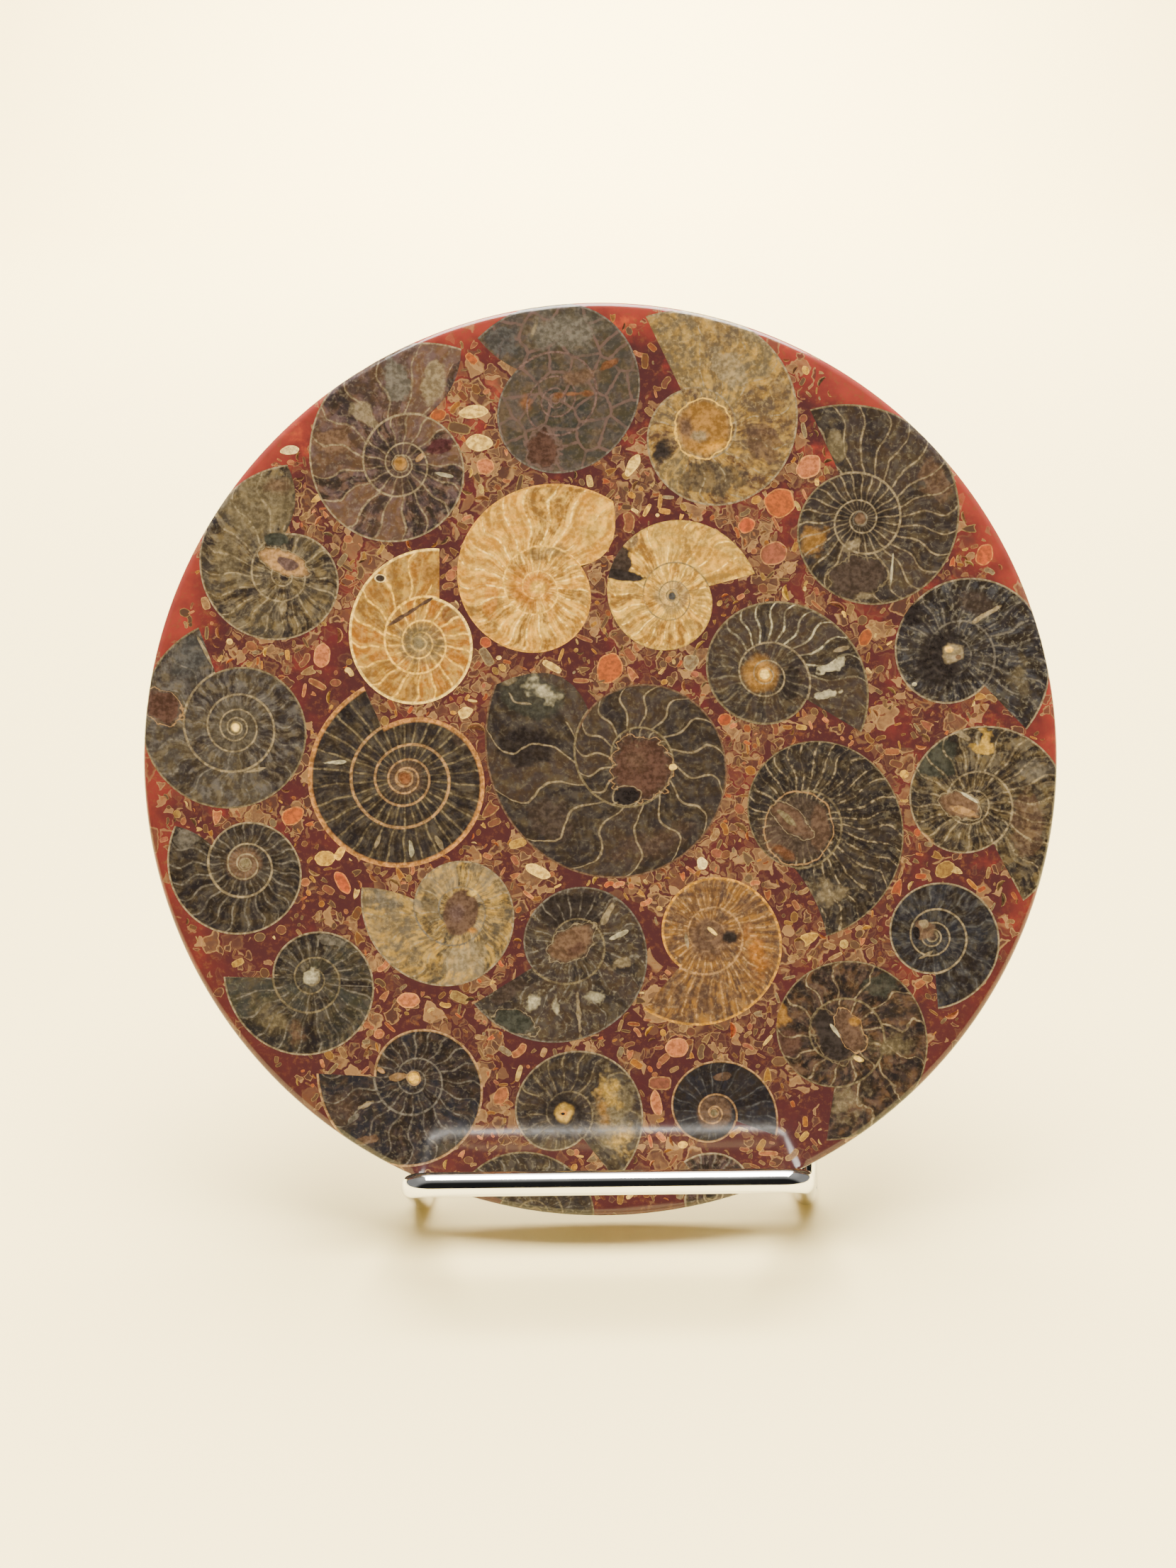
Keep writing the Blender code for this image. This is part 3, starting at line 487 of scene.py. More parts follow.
        cover(-5.8, -57.8, 2.3, 1.9, 20, Tone.AMBER, 0.6, 1.0, 0.8),
        cover(-6.0, -57.8, 0.8, 0.6, 0, Tone.JET, 0.4),
    )),
    Shell(25, (18.9, -57.6), -20, (11.0, 9.0, 7.4, 5.2, 3.9), Section(
        snake=0.2, line=0.24, wall=0.4, light=Tone.INK, septa=Tone.SLATE, walls=Tone.SAND,
        rind=Tone.SAND, mottle=0.6, fleck=0.1, core=0.7, core_fill=Tone.KHAKI, core_edge=Tone.SAND,
    ), (
        spot(18.9, -57.6, 6.6, 6.2, 0, Tone.COCOA, 0.15, 0.8),
        spot(20.0, -51.6, 3.0, 1.6, 0, Tone.COCOA, 0.8, 0.7),
    )),
    Shell(26, (-10.5, -74.4), 158, (13.0, 9.6, 9.6, 8.0, 6.0), Section(
        lean=0.3, waver=0.7, line=0.26, broken=0.8, dark=Tone.BLACK, septa=Tone.ASH,
        walls=Tone.KHAKI, rind=Tone.KHAKI, mottle=0.8, fleck=0.3,
    ), turn=1, trimmed=True),
    Shell(27, (18.5, -71.2), 130, (7.2, 7.0, 6.3, 5.0, 3.8), Section(
        chambers=16, lean=0.2, line=0.4, shell=0.36, broken=0.45, light=Tone.MAUVE, septa=Tone.ASH,
        mottle=0.5, core_fill=Tone.BLACK,
    ), turn=1, trimmed=True),
)


# ---- Shader nodes ----

Feed = object   # a node's output, a number, a vector or a colour


class Graph:
    """A node tree being wired, with short calls for the nodes that it uses most."""

    def __init__(self, tree: bpy.types.NodeTree) -> None:
        """Start on one tree."""
        self.tree = tree

    def feed(self, socket: bpy.types.NodeSocket, value: Feed) -> None:
        """Link an output to a socket, or set the socket's own value.

        Args:
            socket: the input to feed.
            value: an output socket, a number, a vector, a colour or a Tone.
        """
        if isinstance(value, Tone):
            value = value.value
        if isinstance(value, bpy.types.NodeSocket):
            self.tree.links.new(value, socket)
        elif socket.type == "RGBA":
            socket.default_value = (*value[:3], 1.0)
        else:
            socket.default_value = value

    def add(self, kind: str, inputs: dict[str | int, Feed] | None = None,
            **settings: object) -> bpy.types.Node:
        """Add a node.

        Args:
            kind: its type, without the leading ShaderNode.
            inputs: what feeds its inputs, by name or number.
            settings: its other properties.

        Returns:
            The new node.
        """
        node = self.tree.nodes.new("ShaderNode" + kind)
        for key, value in settings.items():
            setattr(node, key, value)
        for key, value in (inputs or {}).items():
            self.feed(node.inputs[key], value)
        return node

    def math(self, operation: str, a: Feed, b: Feed = 0.0, c: Feed = 0.0) -> object:
        """Return the output of a Math node."""
        return self.add("Math", {0: a, 1: b, 2: c}, operation=operation).outputs[0]

    def times(self, first: Feed, *others: Feed) -> object:
        """Return numbers multiplied together."""
        for other in others:
            first = self.math("MULTIPLY", first, other)
        return first

    def rest(self, share: Feed) -> object:
        """Return what a share leaves of one."""
        return self.math("SUBTRACT", 1.0, share)

    def vector(self, operation: str, a: Feed, b: Feed = (0.0, 0.0, 0.0),
               c: Feed = (0.0, 0.0, 0.0)) -> object:
        """Return the vector output of a Vector Math node."""
        return self.add("VectorMath", {0: a, 1: b, 2: c}, operation=operation).outputs["Vector"]

    def length(self, a: Feed) -> object:
        """Return the length of a vector."""
        return self.add("VectorMath", {0: a}, operation="LENGTH").outputs["Value"]

    def ramp(self, value: Feed, low: Feed, high: Feed, start: Feed = 0.0,
             end: Feed = 1.0) -> object:
        """Ease a number from one range to another.

        Args:
            value: the number.
            low, high: the range that it comes from.
            start, end: what it gives there, and beyond.

        Returns:
            The output of the node.
        """
        return self.add("MapRange", {"Value": value, "From Min": low, "From Max": high,
                                     "To Min": start, "To Max": end},
                        interpolation_type="SMOOTHSTEP").outputs["Result"]

    def mix(self, amount: Feed, a: Feed, b: Feed, blend: str = "MIX") -> object:
        """Mix two colours.

        Args:
            amount: the share of the second.
            a, b: the colours.
            blend: how they mix.

        Returns:
            The output of the node.
        """
        node = self.add("Mix", data_type="RGBA", blend_type=blend)
        for index, value in ((0, amount), (6, a), (7, b)):
            self.feed(node.inputs[index], value)
        return node.outputs[2]

    def noise(self, place: Feed, scale: float, detail: float = 3.0,
              roughness: float = 0.55) -> object:
        """Return an even noise of 0 to 1, with scale in cycles per millimetre."""
        return self.add("TexNoise", {"Vector": place, "Scale": scale, "Detail": detail,
                                     "Roughness": roughness}).outputs["Fac"]

    def group(self, tree: bpy.types.NodeTree, inputs: dict[str, Feed]) -> bpy.types.Node:
        """Place a node group.

        Args:
            tree: the group.
            inputs: what feeds its inputs, by name.

        Returns:
            The group's node.
        """
        node = self.tree.nodes.new("ShaderNodeGroup")
        node.node_tree = tree
        for key, value in inputs.items():
            self.feed(node.inputs[key], value)
        return node


def new_group(name: str, values: str, vectors: str, colours: str,
              results: str = "") -> tuple[bpy.types.NodeTree, Graph, object, object]:
    """Start a shader node group, which gives a colour.

    Args:
        name: the group's name.
        values, vectors, colours: the names of its inputs, with spaces between.
        results: the names of the values that it gives besides its colour.

    Returns:
        The group, a graph on it, its inputs by name and the node that its outputs are fed to.
    """
    tree = bpy.data.node_groups.new(name, "ShaderNodeTree")
    for way, kind, labels in (
            ("INPUT", "Float", values), ("INPUT", "Vector", vectors), ("INPUT", "Color", colours),
            ("OUTPUT", "Color", "Colour"), ("OUTPUT", "Float", results)):
        for label in labels.split():
            tree.interface.new_socket(label, in_out=way, socket_type="NodeSocket" + kind)
    given, out = (tree.nodes.new(kind) for kind in ("NodeGroupInput", "NodeGroupOutput"))
    return tree, Graph(tree), given.outputs, out


WHOLE_TURN = 2.0 * math.pi
COOL, WARM = (0.93, 0.96, 1.1), (1.07, 1.0, 0.86)


def to_septum(g: Graph, place: Feed, radius: Feed, chambers: Feed) -> object:
    """Return the distance in millimetres to the nearest septum, from the place in chambers."""
    part = g.math("FRACT", place)
    return g.times(g.math("MINIMUM", part, g.rest(part)),
                   g.math("DIVIDE", g.times(radius, WHOLE_TURN), chambers))


def shaded(g: Graph, colour: Feed, shade: Feed) -> object:
    """Return a colour made paler or darker by one number."""
    grey = g.add("CombineColor", {0: shade, 1: shade, 2: shade}).outputs[0]
    return g.mix(1.0, colour, grey, "MULTIPLY")


class SectionNodes:
    """The three groups that draw a shell's section: chamber fill, septa and walls, patches."""

    def __init__(self) -> None:
        """Build the groups once."""
        self.fill = self.build_fill()
        self.septa = self.build_septa()
        self.patch = self.build_patch()

    def build_fill(self) -> bpy.types.NodeTree:
        """Build the group that fills the chambers with mottled, flecked calcite.

        Returns:
            The group.
        """
        tree, g, i, out = new_group(
            "chamber fill", "Chambers Lean Belly Snake Waver Mottle Grain Fleck Web Seed",
            "Whorl Face Hub", "Dark Mid Light", "Place Radius Stray Speckle")
        whorl = g.add("SeparateXYZ", {0: i["Whorl"]}).outputs
        shift = g.add("CombineXYZ", {0: i["Seed"], 1: i["Seed"], 2: 0.0}).outputs[0]
        place = g.vector("ADD", i["Face"], shift)
        radius = g.length(g.vector("SUBTRACT", i["Face"], i["Hub"]))
        along = self.chamber_place(g, i, whorl, place, radius)
        clouds = g.noise(place, 0.42, 3.0, 0.6)
        speckle = g.noise(place, 1.3, 3.0, 0.6)
        fibres = g.noise(g.add("CombineXYZ", {
            0: g.times(along, 3.4), 1: g.times(whorl["Y"], 1.5), 2: i["Seed"],
        }).outputs[0], 1.0, 2.5, 0.6)
        colour = self.chamber_colour(g, i, along, clouds, fibres)
        near = to_septum(g, along, radius, i["Chambers"])
        halo = g.times(g.ramp(near, 0.15, 0.9, 0.75, 0.0), g.ramp(clouds, 0.4, 0.6))
        colour = g.mix(g.times(halo, i["Mottle"]), colour, g.mix(0.6, i["Mid"], i["Light"]))
        colour = self.gritty(g, i, colour, g.math("MULTIPLY_ADD", fibres, 0.55,
                                                  g.times(speckle, 0.55)))
        warmth = g.mix(g.ramp(g.noise(place, 0.55, 2.5), 0.42, 0.6), COOL, WARM)
        colour = g.mix(1.0, colour, warmth, "MULTIPLY")
        colour = self.flecked(g, i, colour, place, clouds, speckle)
        stray = g.math("SUBTRACT", g.noise(place, 0.42, 2.5, 0.55), 0.5)
        for label, value in (("Colour", colour), ("Place", along), ("Radius", radius),
                             ("Stray", stray), ("Speckle", speckle)):
            g.feed(out.inputs[label], value)
        return tree

    @staticmethod
    def chamber_place(g: Graph, i: object, whorl: object, place: object,
                      radius: object) -> object:
        """Return how far back along the whorl a point is, in chambers with bent septa.

        Args:
            g: the group's graph.
            i: the group's inputs.
            whorl: the turns back from the mouth, and the share across the whorl.
            place: the shell's own place on the noises.
            radius: the distance from the hub, in millimetres.

        Returns:
            The place, whose whole numbers are the septa.
        """
        across = whorl["Y"]
        slow = g.noise(place, 0.22, 2.0, 0.4)
        quick = g.noise(place, 0.75, 1.0)
        belly = g.times(across, g.rest(across), g.times(i["Belly"], 4.0))
        snake = g.times(g.math("SINE", g.times(across, WHOLE_TURN)), i["Snake"])
        wander = g.times(i["Waver"], g.math("ADD", g.math("MULTIPLY_ADD", slow, 1.6, -0.8),
                                            g.math("MULTIPLY_ADD", quick, 0.24, -0.12)))
        off_middle = g.math("SUBTRACT", across, 0.5)
        bend = g.math("ADD", g.math("MULTIPLY_ADD", off_middle, i["Lean"], belly),
                      g.math("ADD", snake, wander))
        return g.math("MULTIPLY_ADD", whorl["X"], i["Chambers"],
                      g.times(bend, g.ramp(radius, 3.0, 12.0, 0.35, 1.0)))

    @staticmethod
    def chamber_colour(g: Graph, i: object, along: object, clouds: object,
                       fibres: object) -> object:
        """Give each chamber its own tone, with light blooms.

        Args:
            g: the group's graph.
            i: the group's inputs.
            along: the place along the whorl, in chambers.
            clouds: the soft noise.
            fibres: the noise that runs with the septa.

        Returns:
            The colour.
        """
        dice = g.add("TexWhiteNoise", {"W": g.math("ADD", g.math("FLOOR", along), i["Seed"])},
                     noise_dimensions="1D").outputs
        tones = g.add("SeparateColor", {0: dice["Color"]}).outputs
        colour = g.mix(g.ramp(tones["Red"], 0.2, 1.0, 0.0, 0.9), i["Dark"], i["Mid"])
        bloom = g.math("MULTIPLY_ADD", fibres, 0.55, g.times(clouds, 0.8))
        return g.mix(g.times(g.ramp(bloom, 0.64, 0.82), i["Mottle"]), colour, i["Light"])

    @staticmethod
    def gritty(g: Graph, i: object, colour: object, grit: object) -> object:
        """Return the colour with fine dark and pale grit."""
        dark = g.mix(1.0, colour, (0.45, 0.44, 0.45), "MULTIPLY")
        pale = g.mix(0.55, g.mix(1.0, colour, (1.35, 1.3, 1.25), "MULTIPLY"), i["Light"])
        return g.mix(i["Grain"], colour, g.mix(g.ramp(grit, 0.45, 0.66), dark, pale))

    @staticmethod
    def flecked(g: Graph, i: object, colour: object, place: object, clouds: object,
                speckle: object) -> object:
        """Return the colour with pale flecks and veins, and a coarse net of cracks.

        Args:
            g: the group's graph.
            i: the group's inputs.
            colour: the colour so far.
            place: the shell's own place on the noises.
            clouds: the soft noise.
            speckle: the fine noise.

        Returns:
            The new colour.
        """
        swirl = g.add("TexNoise", {"Vector": place, "Scale": 0.9, "Detail": 2.0}).outputs["Color"]
        bent = g.vector("MULTIPLY_ADD", swirl, (1.3, 1.3, 0.0), place)
        veins = g.add("TexVoronoi", {"Vector": bent, "Scale": 0.62},
                      feature="DISTANCE_TO_EDGE").outputs["Distance"]
        veins = g.times(g.ramp(veins, 0.02, 0.1, 1.0, 0.0), g.ramp(speckle, 0.45, 0.62))
        cells = g.add("TexVoronoi", {"Vector": bent, "Scale": 1.05}, feature="F1").outputs
        pick = g.add("SeparateColor", {0: cells["Color"]}).outputs
        flecks = g.times(g.ramp(cells["Distance"], 0.06, 0.42, 1.0, 0.0),
                         g.ramp(pick["Red"], 0.72, 1.0))
        flecks = g.times(g.math("MAXIMUM", flecks, g.times(veins, 0.8)), i["Fleck"])
        colour = g.mix(flecks, colour, g.mix(0.5, i["Light"], Tone.FROST))
        eased = g.vector("MULTIPLY_ADD", swirl, (0.7, 0.7, 0.0), place)
        cracks = g.add("TexVoronoi", {"Vector": eased, "Scale": 0.24}, voronoi_dimensions="2D",
                       feature="DISTANCE_TO_EDGE").outputs["Distance"]
        uneven = g.times(i["Web"], g.ramp(clouds, 0.36, 0.56, 0.45, 1.0))
        return g.mix(g.times(g.ramp(cracks, 0.03, 0.075, 1.0, 0.0), uneven), colour, i["Light"])

    @staticmethod
    def build_septa() -> bpy.types.NodeTree:
        """Build the group that draws the septa, the walls between whorls and the outer shell.

        Returns:
            The group.
        """
        tree, g, i, out = new_group(
            "septa and walls", "Place Radius Speckle Stray Chambers Narrowing Line Wall Shell"
            " Broken From To", "Whorl", "Colour Septa Walls Rind")
        whorl = g.add("SeparateXYZ", {0: i["Whorl"]}).outputs
        turns, across = whorl["X"], whorl["Y"]
        size = g.ramp(i["Radius"], 1.5, 8.0, 0.45, 1.0)
        worn = g.ramp(g.math("MULTIPLY_ADD", i["Stray"], 2.4, i["Speckle"]), 0.38, 0.7)
        kept = g.rest(g.times(i["Broken"], g.rest(worn)))
        half = g.times(i["Line"], 0.32, size)
        near = to_septum(g, i["Place"], i["Radius"], i["Chambers"])
        line = g.ramp(near, g.times(half, 0.5), g.math("ADD", half, 0.15), 1.0, 0.0)
        late = g.ramp(turns, g.math("SUBTRACT", i["From"], 0.06), i["From"], 0.15, 1.0)
        early = g.ramp(turns, i["To"], g.math("ADD", i["To"], 0.06), 1.0, 0.15)
        line = g.times(line, kept, g.math("GREATER_THAN", turns, 0.0),
                       g.ramp(i["Radius"], 1.0, 6.5, 0.2, 0.85), g.math("MINIMUM", late, early))
        outer_gap = g.times(g.rest(across), i["Radius"], g.rest(i["Narrowing"]))
        inner_gap = g.math("DIVIDE", g.times(across, i["Radius"], g.rest(i["Narrowing"])),
                           i["Narrowing"])
        wall_half = g.times(i["Wall"], 0.4, size)
        wall = g.ramp(g.math("MINIMUM", outer_gap, inner_gap), g.times(wall_half, 0.6),
                      g.math("ADD", wall_half, 0.14), 1.0, 0.0)
        wall = g.times(wall, g.ramp(kept, 0.0, 1.0, 0.45, 0.95))
        rind = g.ramp(outer_gap, g.times(i["Shell"], 0.5),
                      g.math("MULTIPLY_ADD", i["Shell"], 0.8, 0.1), 1.0, 0.0)
        rind = g.times(rind, g.math("LESS_THAN", turns, 1.0), g.ramp(kept, 0.0, 1.0, 0.5, 0.95))
        shade = g.ramp(i["Speckle"], 0.35, 0.65, 0.6, 1.35)
        colour = i["Colour"]
        for share, tone in ((line, "Septa"), (wall, "Walls"), (rind, "Rind")):
            colour = g.mix(share, colour, shaded(g, i[tone], shade))
        g.feed(out.inputs["Colour"], colour)
        return tree

    @staticmethod
    def build_patch() -> bpy.types.NodeTree:
        """Build the group that lays one ragged, outlined oval of another colour over a face.

        Returns:
            The group.
        """
        tree, g, i, out = new_group(
            "patch", "Bearing Stray Speckle Ragged Soft Amount Outlined Edge",
            "Face Centre Half", "Colour Fill Outline")
        turned = g.add("VectorRotate", {
            "Vector": g.vector("SUBTRACT", i["Face"], i["Centre"]),
            "Angle": g.times(i["Bearing"], -1.0),
        }, rotation_type="Z_AXIS").outputs[0]
        reach = g.length(g.vector("DIVIDE", turned, i["Half"]))
        reach = g.math("MULTIPLY_ADD", g.times(i["Stray"], i["Ragged"]), 2.6, reach)
        mask = g.ramp(reach, g.rest(i["Soft"]), 1.0, 1.0, 0.0)
        shade = g.ramp(g.math("MULTIPLY_ADD", i["Stray"], 0.7, i["Speckle"]), 0.3, 0.7, 0.6, 1.35)
        colour = g.mix(g.times(mask, i["Amount"]), i["Colour"], shaded(g, i["Fill"], shade))
        ring = g.ramp(g.math("ABSOLUTE", g.math("SUBTRACT", reach, 0.98)),
                      g.times(i["Edge"], 0.35), i["Edge"], 1.0, 0.0)
        ring = g.times(ring, i["Outlined"], g.ramp(i["Speckle"], 0.3, 0.6, 0.3, 0.85))
        g.feed(out.inputs["Colour"], g.mix(ring, colour, i["Outline"]))
        return tree


@dataclass(frozen=True)
class Finish:
    """The plain constants of a shader."""

    smooth: float               # roughness where it is brightest
    dull: float                 # roughness where it is most worn
    ior: float = 1.5
    metallic: float = 0.0
    base: Colour = (0.8, 0.8, 0.8)


CALCITE = Finish(0.12, 0.24, ior=1.43)
RESIN = Finish(0.11, 0.11, ior=1.43)
POLISHED_SHELL = Finish(0.08, 0.18, ior=1.46)
CHROME = Finish(0.05, 0.11, metallic=1.0, base=(0.90, 0.91, 0.92))
PAPER = Finish(0.7, 0.7, base=(0.95, 0.79, 0.39))


def new_material(name: str) -> tuple[bpy.types.Material, Graph, bpy.types.Node]:
    """Start a material.

    Args:
        name: its name.

    Returns:
        The material, a graph on its nodes, and its Principled shader.
    """
    material = bpy.data.materials.new(name)
    material.use_nodes = True
    graph = Graph(material.node_tree)
    return material, graph, material.node_tree.nodes["Principled BSDF"]


# ---- Modelling ----

def deselect_all() -> None:
    """Leave edit mode, and select nothing."""
    if bpy.context.object and bpy.context.object.mode != "OBJECT":
        bpy.ops.object.mode_set(mode="OBJECT")
    bpy.ops.object.select_all(action="DESELECT")


def take_up(piece: Piece) -> None:
    """Make one object the selected and active one."""
    deselect_all()
    piece.select_set(True)
    bpy.context.view_layer.objects.active = piece


def named(name: str) -> Piece:
    """Name the active object and its data, and return it."""
    piece = bpy.context.object
    piece.name = piece.data.name = name
    return piece


def join(pieces: list[Piece], name: str) -> Piece:
    """Join several objects into one, under a new name.

    Args:
        pieces: the objects.
        name: the new name.

    Returns:
        The joined object.
    """
    take_up(pieces[0])
    for piece in pieces:
        piece.select_set(True)
    bpy.ops.object.join()
    return named(name)


def coat(pieces: list[Piece], material: bpy.types.Material) -> None:
    """Give several objects one material."""
    for piece in pieces:
        piece.data.materials.clear()
        piece.data.materials.append(material)


def flat(line: Line, height: float, name: str) -> Piece:
    """Model one flat face in the plate's own frame.

    Args:
        line: its anticlockwise outline, in millimetres.
        height: how far above the resin's face it lies.
        name: the object's name.

    Returns:
        The object.
    """
    deselect_all()
    bpy.ops.mesh.primitive_circle_add(vertices=len(line), radius=MM, fill_type="NGON")
    piece = named(name)
    for vert, (x, y) in zip(piece.data.vertices, line):
        vert.co = (x * MM, y * MM, height * MM)
    return piece


def edit_edges() -> None:
    """Enter edit mode, by edges, with everything selected."""
    bpy.ops.object.mode_set(mode="EDIT")
    bpy.ops.mesh.select_mode(type="EDGE")
    bpy.ops.mesh.select_all(action="SELECT")


def extrude(x: float, y: float, z: float) -> None:
    """In edit mode, extrude what is selected along a vector in metres."""
    bpy.ops.mesh.extrude_region_move(TRANSFORM_OT_translate={"value": (x, y, z)})


def weld(distance: float) -> None:
    """In edit mode, merge all vertices that are closer than a distance in metres."""
    bpy.ops.mesh.select_all(action="SELECT")
    bpy.ops.mesh.remove_doubles(threshold=distance)


def face_outwards() -> None:
    """In edit mode, turn every face outwards, and leave edit mode."""
    bpy.ops.mesh.select_all(action="SELECT")
    bpy.ops.mesh.normals_make_consistent(inside=False)
    bpy.ops.object.mode_set(mode="OBJECT")


def select_edges(piece: Piece, wanted: Callable[[bmesh.types.BMEdge], bool]) -> None:
    """In edit mode, select only the edges that pass a test.

    Args:
        piece: the object in edit mode.
        wanted: the test.
    """
    shape = bmesh.from_edit_mesh(piece.data)
    for part in (*shape.verts, *shape.edges, *shape.faces):
        part.select = False
    for edge in shape.edges:
        if wanted(edge):
            edge.select = True
            for vert in edge.verts:
                vert.select = True
    bmesh.update_edit_mesh(piece.data)


@dataclass(frozen=True)
class PlateFrame:
    """Where the leaning plate is, and its own measures, in millimetres and degrees."""

    radius: float = 75.0
    thickness: float = 9.0
    rounding: float = 1.2
    lean: float = 22.0
    turn: float = -0.8
    foot: tuple[float, float] = (-31.095, 6.3)     # world y and z of the face's lowest point

    @property
    def matrix(self) -> Matrix:
        """The plate's own frame, in metres, with the middle of the face at its origin."""
        lean = math.radians(self.lean)
        turned = Euler((math.pi / 2.0 - lean, 0.0, math.radians(self.turn)), "ZYX")
        place = Matrix.Translation(self.point(0.0, self.radius, 0.0))
        return place @ turned.to_matrix().to_4x4()

    def point(self, x: float, up: float, behind: float) -> Vector:
        """Find a point of the leaning plate in the world.

        Args:
            x: its place across, in millimetres.
            up: its height up the face.
            behind: its depth behind the face.

        Returns:
            Its place in metres.
        """
        lean = math.radians(self.lean)
        return Vector((
            x,
            self.foot[0] + up * math.sin(lean) + behind * math.cos(lean),
            self.foot[1] + up * math.cos(lean) - behind * math.sin(lean),
        )) * MM

    def drape(self, x: float, y: float) -> float:
        """Height of the face at a point, which falls away over the rounded rim."""
        over = math.hypot(x, y) - (self.radius - self.rounding)
        if over <= 0.0:
            return 0.0
        return math.sqrt(max(0.0, self.rounding ** 2 - over ** 2)) - self.rounding

    def face_vector(self, g: Graph) -> object:
        """Map a material's Object coordinates onto the face.

        Args:
            g: the material's graph.

        Returns:
            The place in the plate's own frame, in millimetres.
        """
        matrix = self.matrix
        return g.add("Mapping", {
            "Vector": g.add("TexCoord").outputs["Object"],
            "Location": matrix.to_translation(),
            "Rotation": matrix.to_euler("XYZ"),
            "Scale": (MM, MM, MM),
        }, vector_type="TEXTURE").outputs[0]


PLATE = PlateFrame()


@dataclass
class ShellInlay:
    """One polished ammonite half: a grid wound into its spiral, with walls and a back."""

    shell: Shell
    nodes: SectionNodes
    depth: float = 5.0
    step: int = 2               # degrees between the grid's columns
    rows: int = 7
    lead: int = 40              # degrees of grid kept ahead of the outer lip, for the mouth
    hole: float = 0.75          # the spiral stops at this radius
    proud: float = 0.012        # above the resin, so that the two faces never fight
    seed_step: float = 13.7     # moves each shell to its own part of the noises
    rim_cuts: tuple[float, ...] = (1.0, 0.6, 0.28, 0.08, 0.0)   # in shares of the rim's rounding

    @property
    def narrowing(self) -> float:
        """How much the shell shrinks in one turn."""
        return self.shell.radii[4] / self.shell.radii[0]

    def radius(self, back: float) -> float:
        """Work out the shell's outer line.

        Args:
            back: degrees back from the outer lip.

        Returns:
            The line's distance from the hub there.
        """
        radii = self.shell.radii
        quarters = back / 90.0
        start = math.floor(quarters)
        t = quarters - start

        def level(index: int) -> float:
            """Logarithm of the radius after a number of quarter turns."""
            turns, rest = divmod(index, 4)
            return math.log(radii[rest]) + turns * math.log(self.narrowing)
        a, b, c, d = (level(start + k) for k in (-1, 0, 1, 2))
        h = t * t * (3.0 - 2.0 * t)
        return math.exp(b * (1.0 - h) + c * h + (c - a) / 2.0 * t * (1.0 - t) ** 2
                        - (d - b) / 2.0 * t * t * (1.0 - t))

    def polar(self, back: float, radius: float) -> tuple[float, float]:
        """Place on the face, from the angle back from the outer lip and the radius."""
        bearing = math.radians(self.shell.mouth - self.shell.turn * back)
        return (self.shell.hub[0] + radius * math.cos(bearing),
                self.shell.hub[1] + radius * math.sin(bearing))

    def mouth_edge(self) -> Line:
        """The mouth's edge, from the inner lip to the outer lip."""
        inner = Vector(self.polar(360.0 + self.shell.skew, self.radius(360.0 + self.shell.skew)))
        outer = Vector(self.polar(0.0, self.radius(0.0)))
        bearing = math.radians(self.shell.mouth)
        ahead = Vector((-math.sin(bearing), math.cos(bearing))) * self.shell.turn
        return [tuple(inner.lerp(outer, t) + ahead * self.shell.bulge * 4.0 * t * (1.0 - t))
                for t in (k / 12.0 for k in range(13))]

    def outline(self, step: float = 4.0) -> Line:
        """The shell's whole edge, as far as the rim that may trim it."""
        count = round((360.0 + self.shell.skew) / step)
        line = [self.polar(k * step, self.radius(k * step)) for k in range(count + 1)]
        return line + self.mouth_edge()[1:-1]

    def mouth_table(self) -> tuple[list[float], list[float]]:
        """Measure the mouth's edge from point to point.

        Returns:
            How far across the whorl each point is, and how far back.
        """
        shares, backs = [], []
        for x, y in self.mouth_edge():
            dx, dy = x - self.shell.hub[0], y - self.shell.hub[1]
            bearing = math.degrees(math.atan2(dy, dx))
            back = (self.shell.turn * (self.shell.mouth - bearing) + 180.0) % 360.0 - 180.0
            inner, outer = self.radius(back + 360.0), self.radius(back)
            shares.append((math.hypot(dx, dy) - inner) / (outer - inner))
            backs.append(back)
        shares[0], backs[0] = 0.0, float(self.shell.skew)
        shares[-1], backs[-1] = 1.0, 0.0
        return shares, backs

    def build(self) -> Piece:
        """Wind, weld, trim and thicken the shell's section.

        Returns:
            The finished object, in the plate's place.
        """
        end = 0
        while self.radius(end) > self.hole:
            end += self.step
        columns = (end + self.lead) // self.step
        deselect_all()
        bpy.ops.mesh.primitive_grid_add(x_subdivisions=columns, y_subdivisions=self.rows, size=1.0)
        piece = named(self.shell.name + "_section")
        self.wind(piece, columns)
        take_up(piece)
        edit_edges()
        weld(2e-6)
        bpy.ops.mesh.select_all(action="SELECT")
        bpy.ops.mesh.dissolve_degenerate(threshold=1e-6)
        hub = Vector((*self.shell.hub, 0.0)) * MM
        core = self.radius(end - self.step) * 1.02 * MM
        select_edges(piece, lambda edge: edge.is_boundary and all(
            (vert.co - hub).length < core for vert in edge.verts))
        bpy.ops.mesh.edge_face_add()
        if self.shell.trimmed:
            self.trim(piece)
        self.thicken(piece)
        piece.data.transform(PLATE.matrix @ Matrix.Translation((0.0, 0.0, self.proud * MM)))
        bpy.ops.object.shade_smooth_by_angle(angle=math.radians(35.0))
        return piece

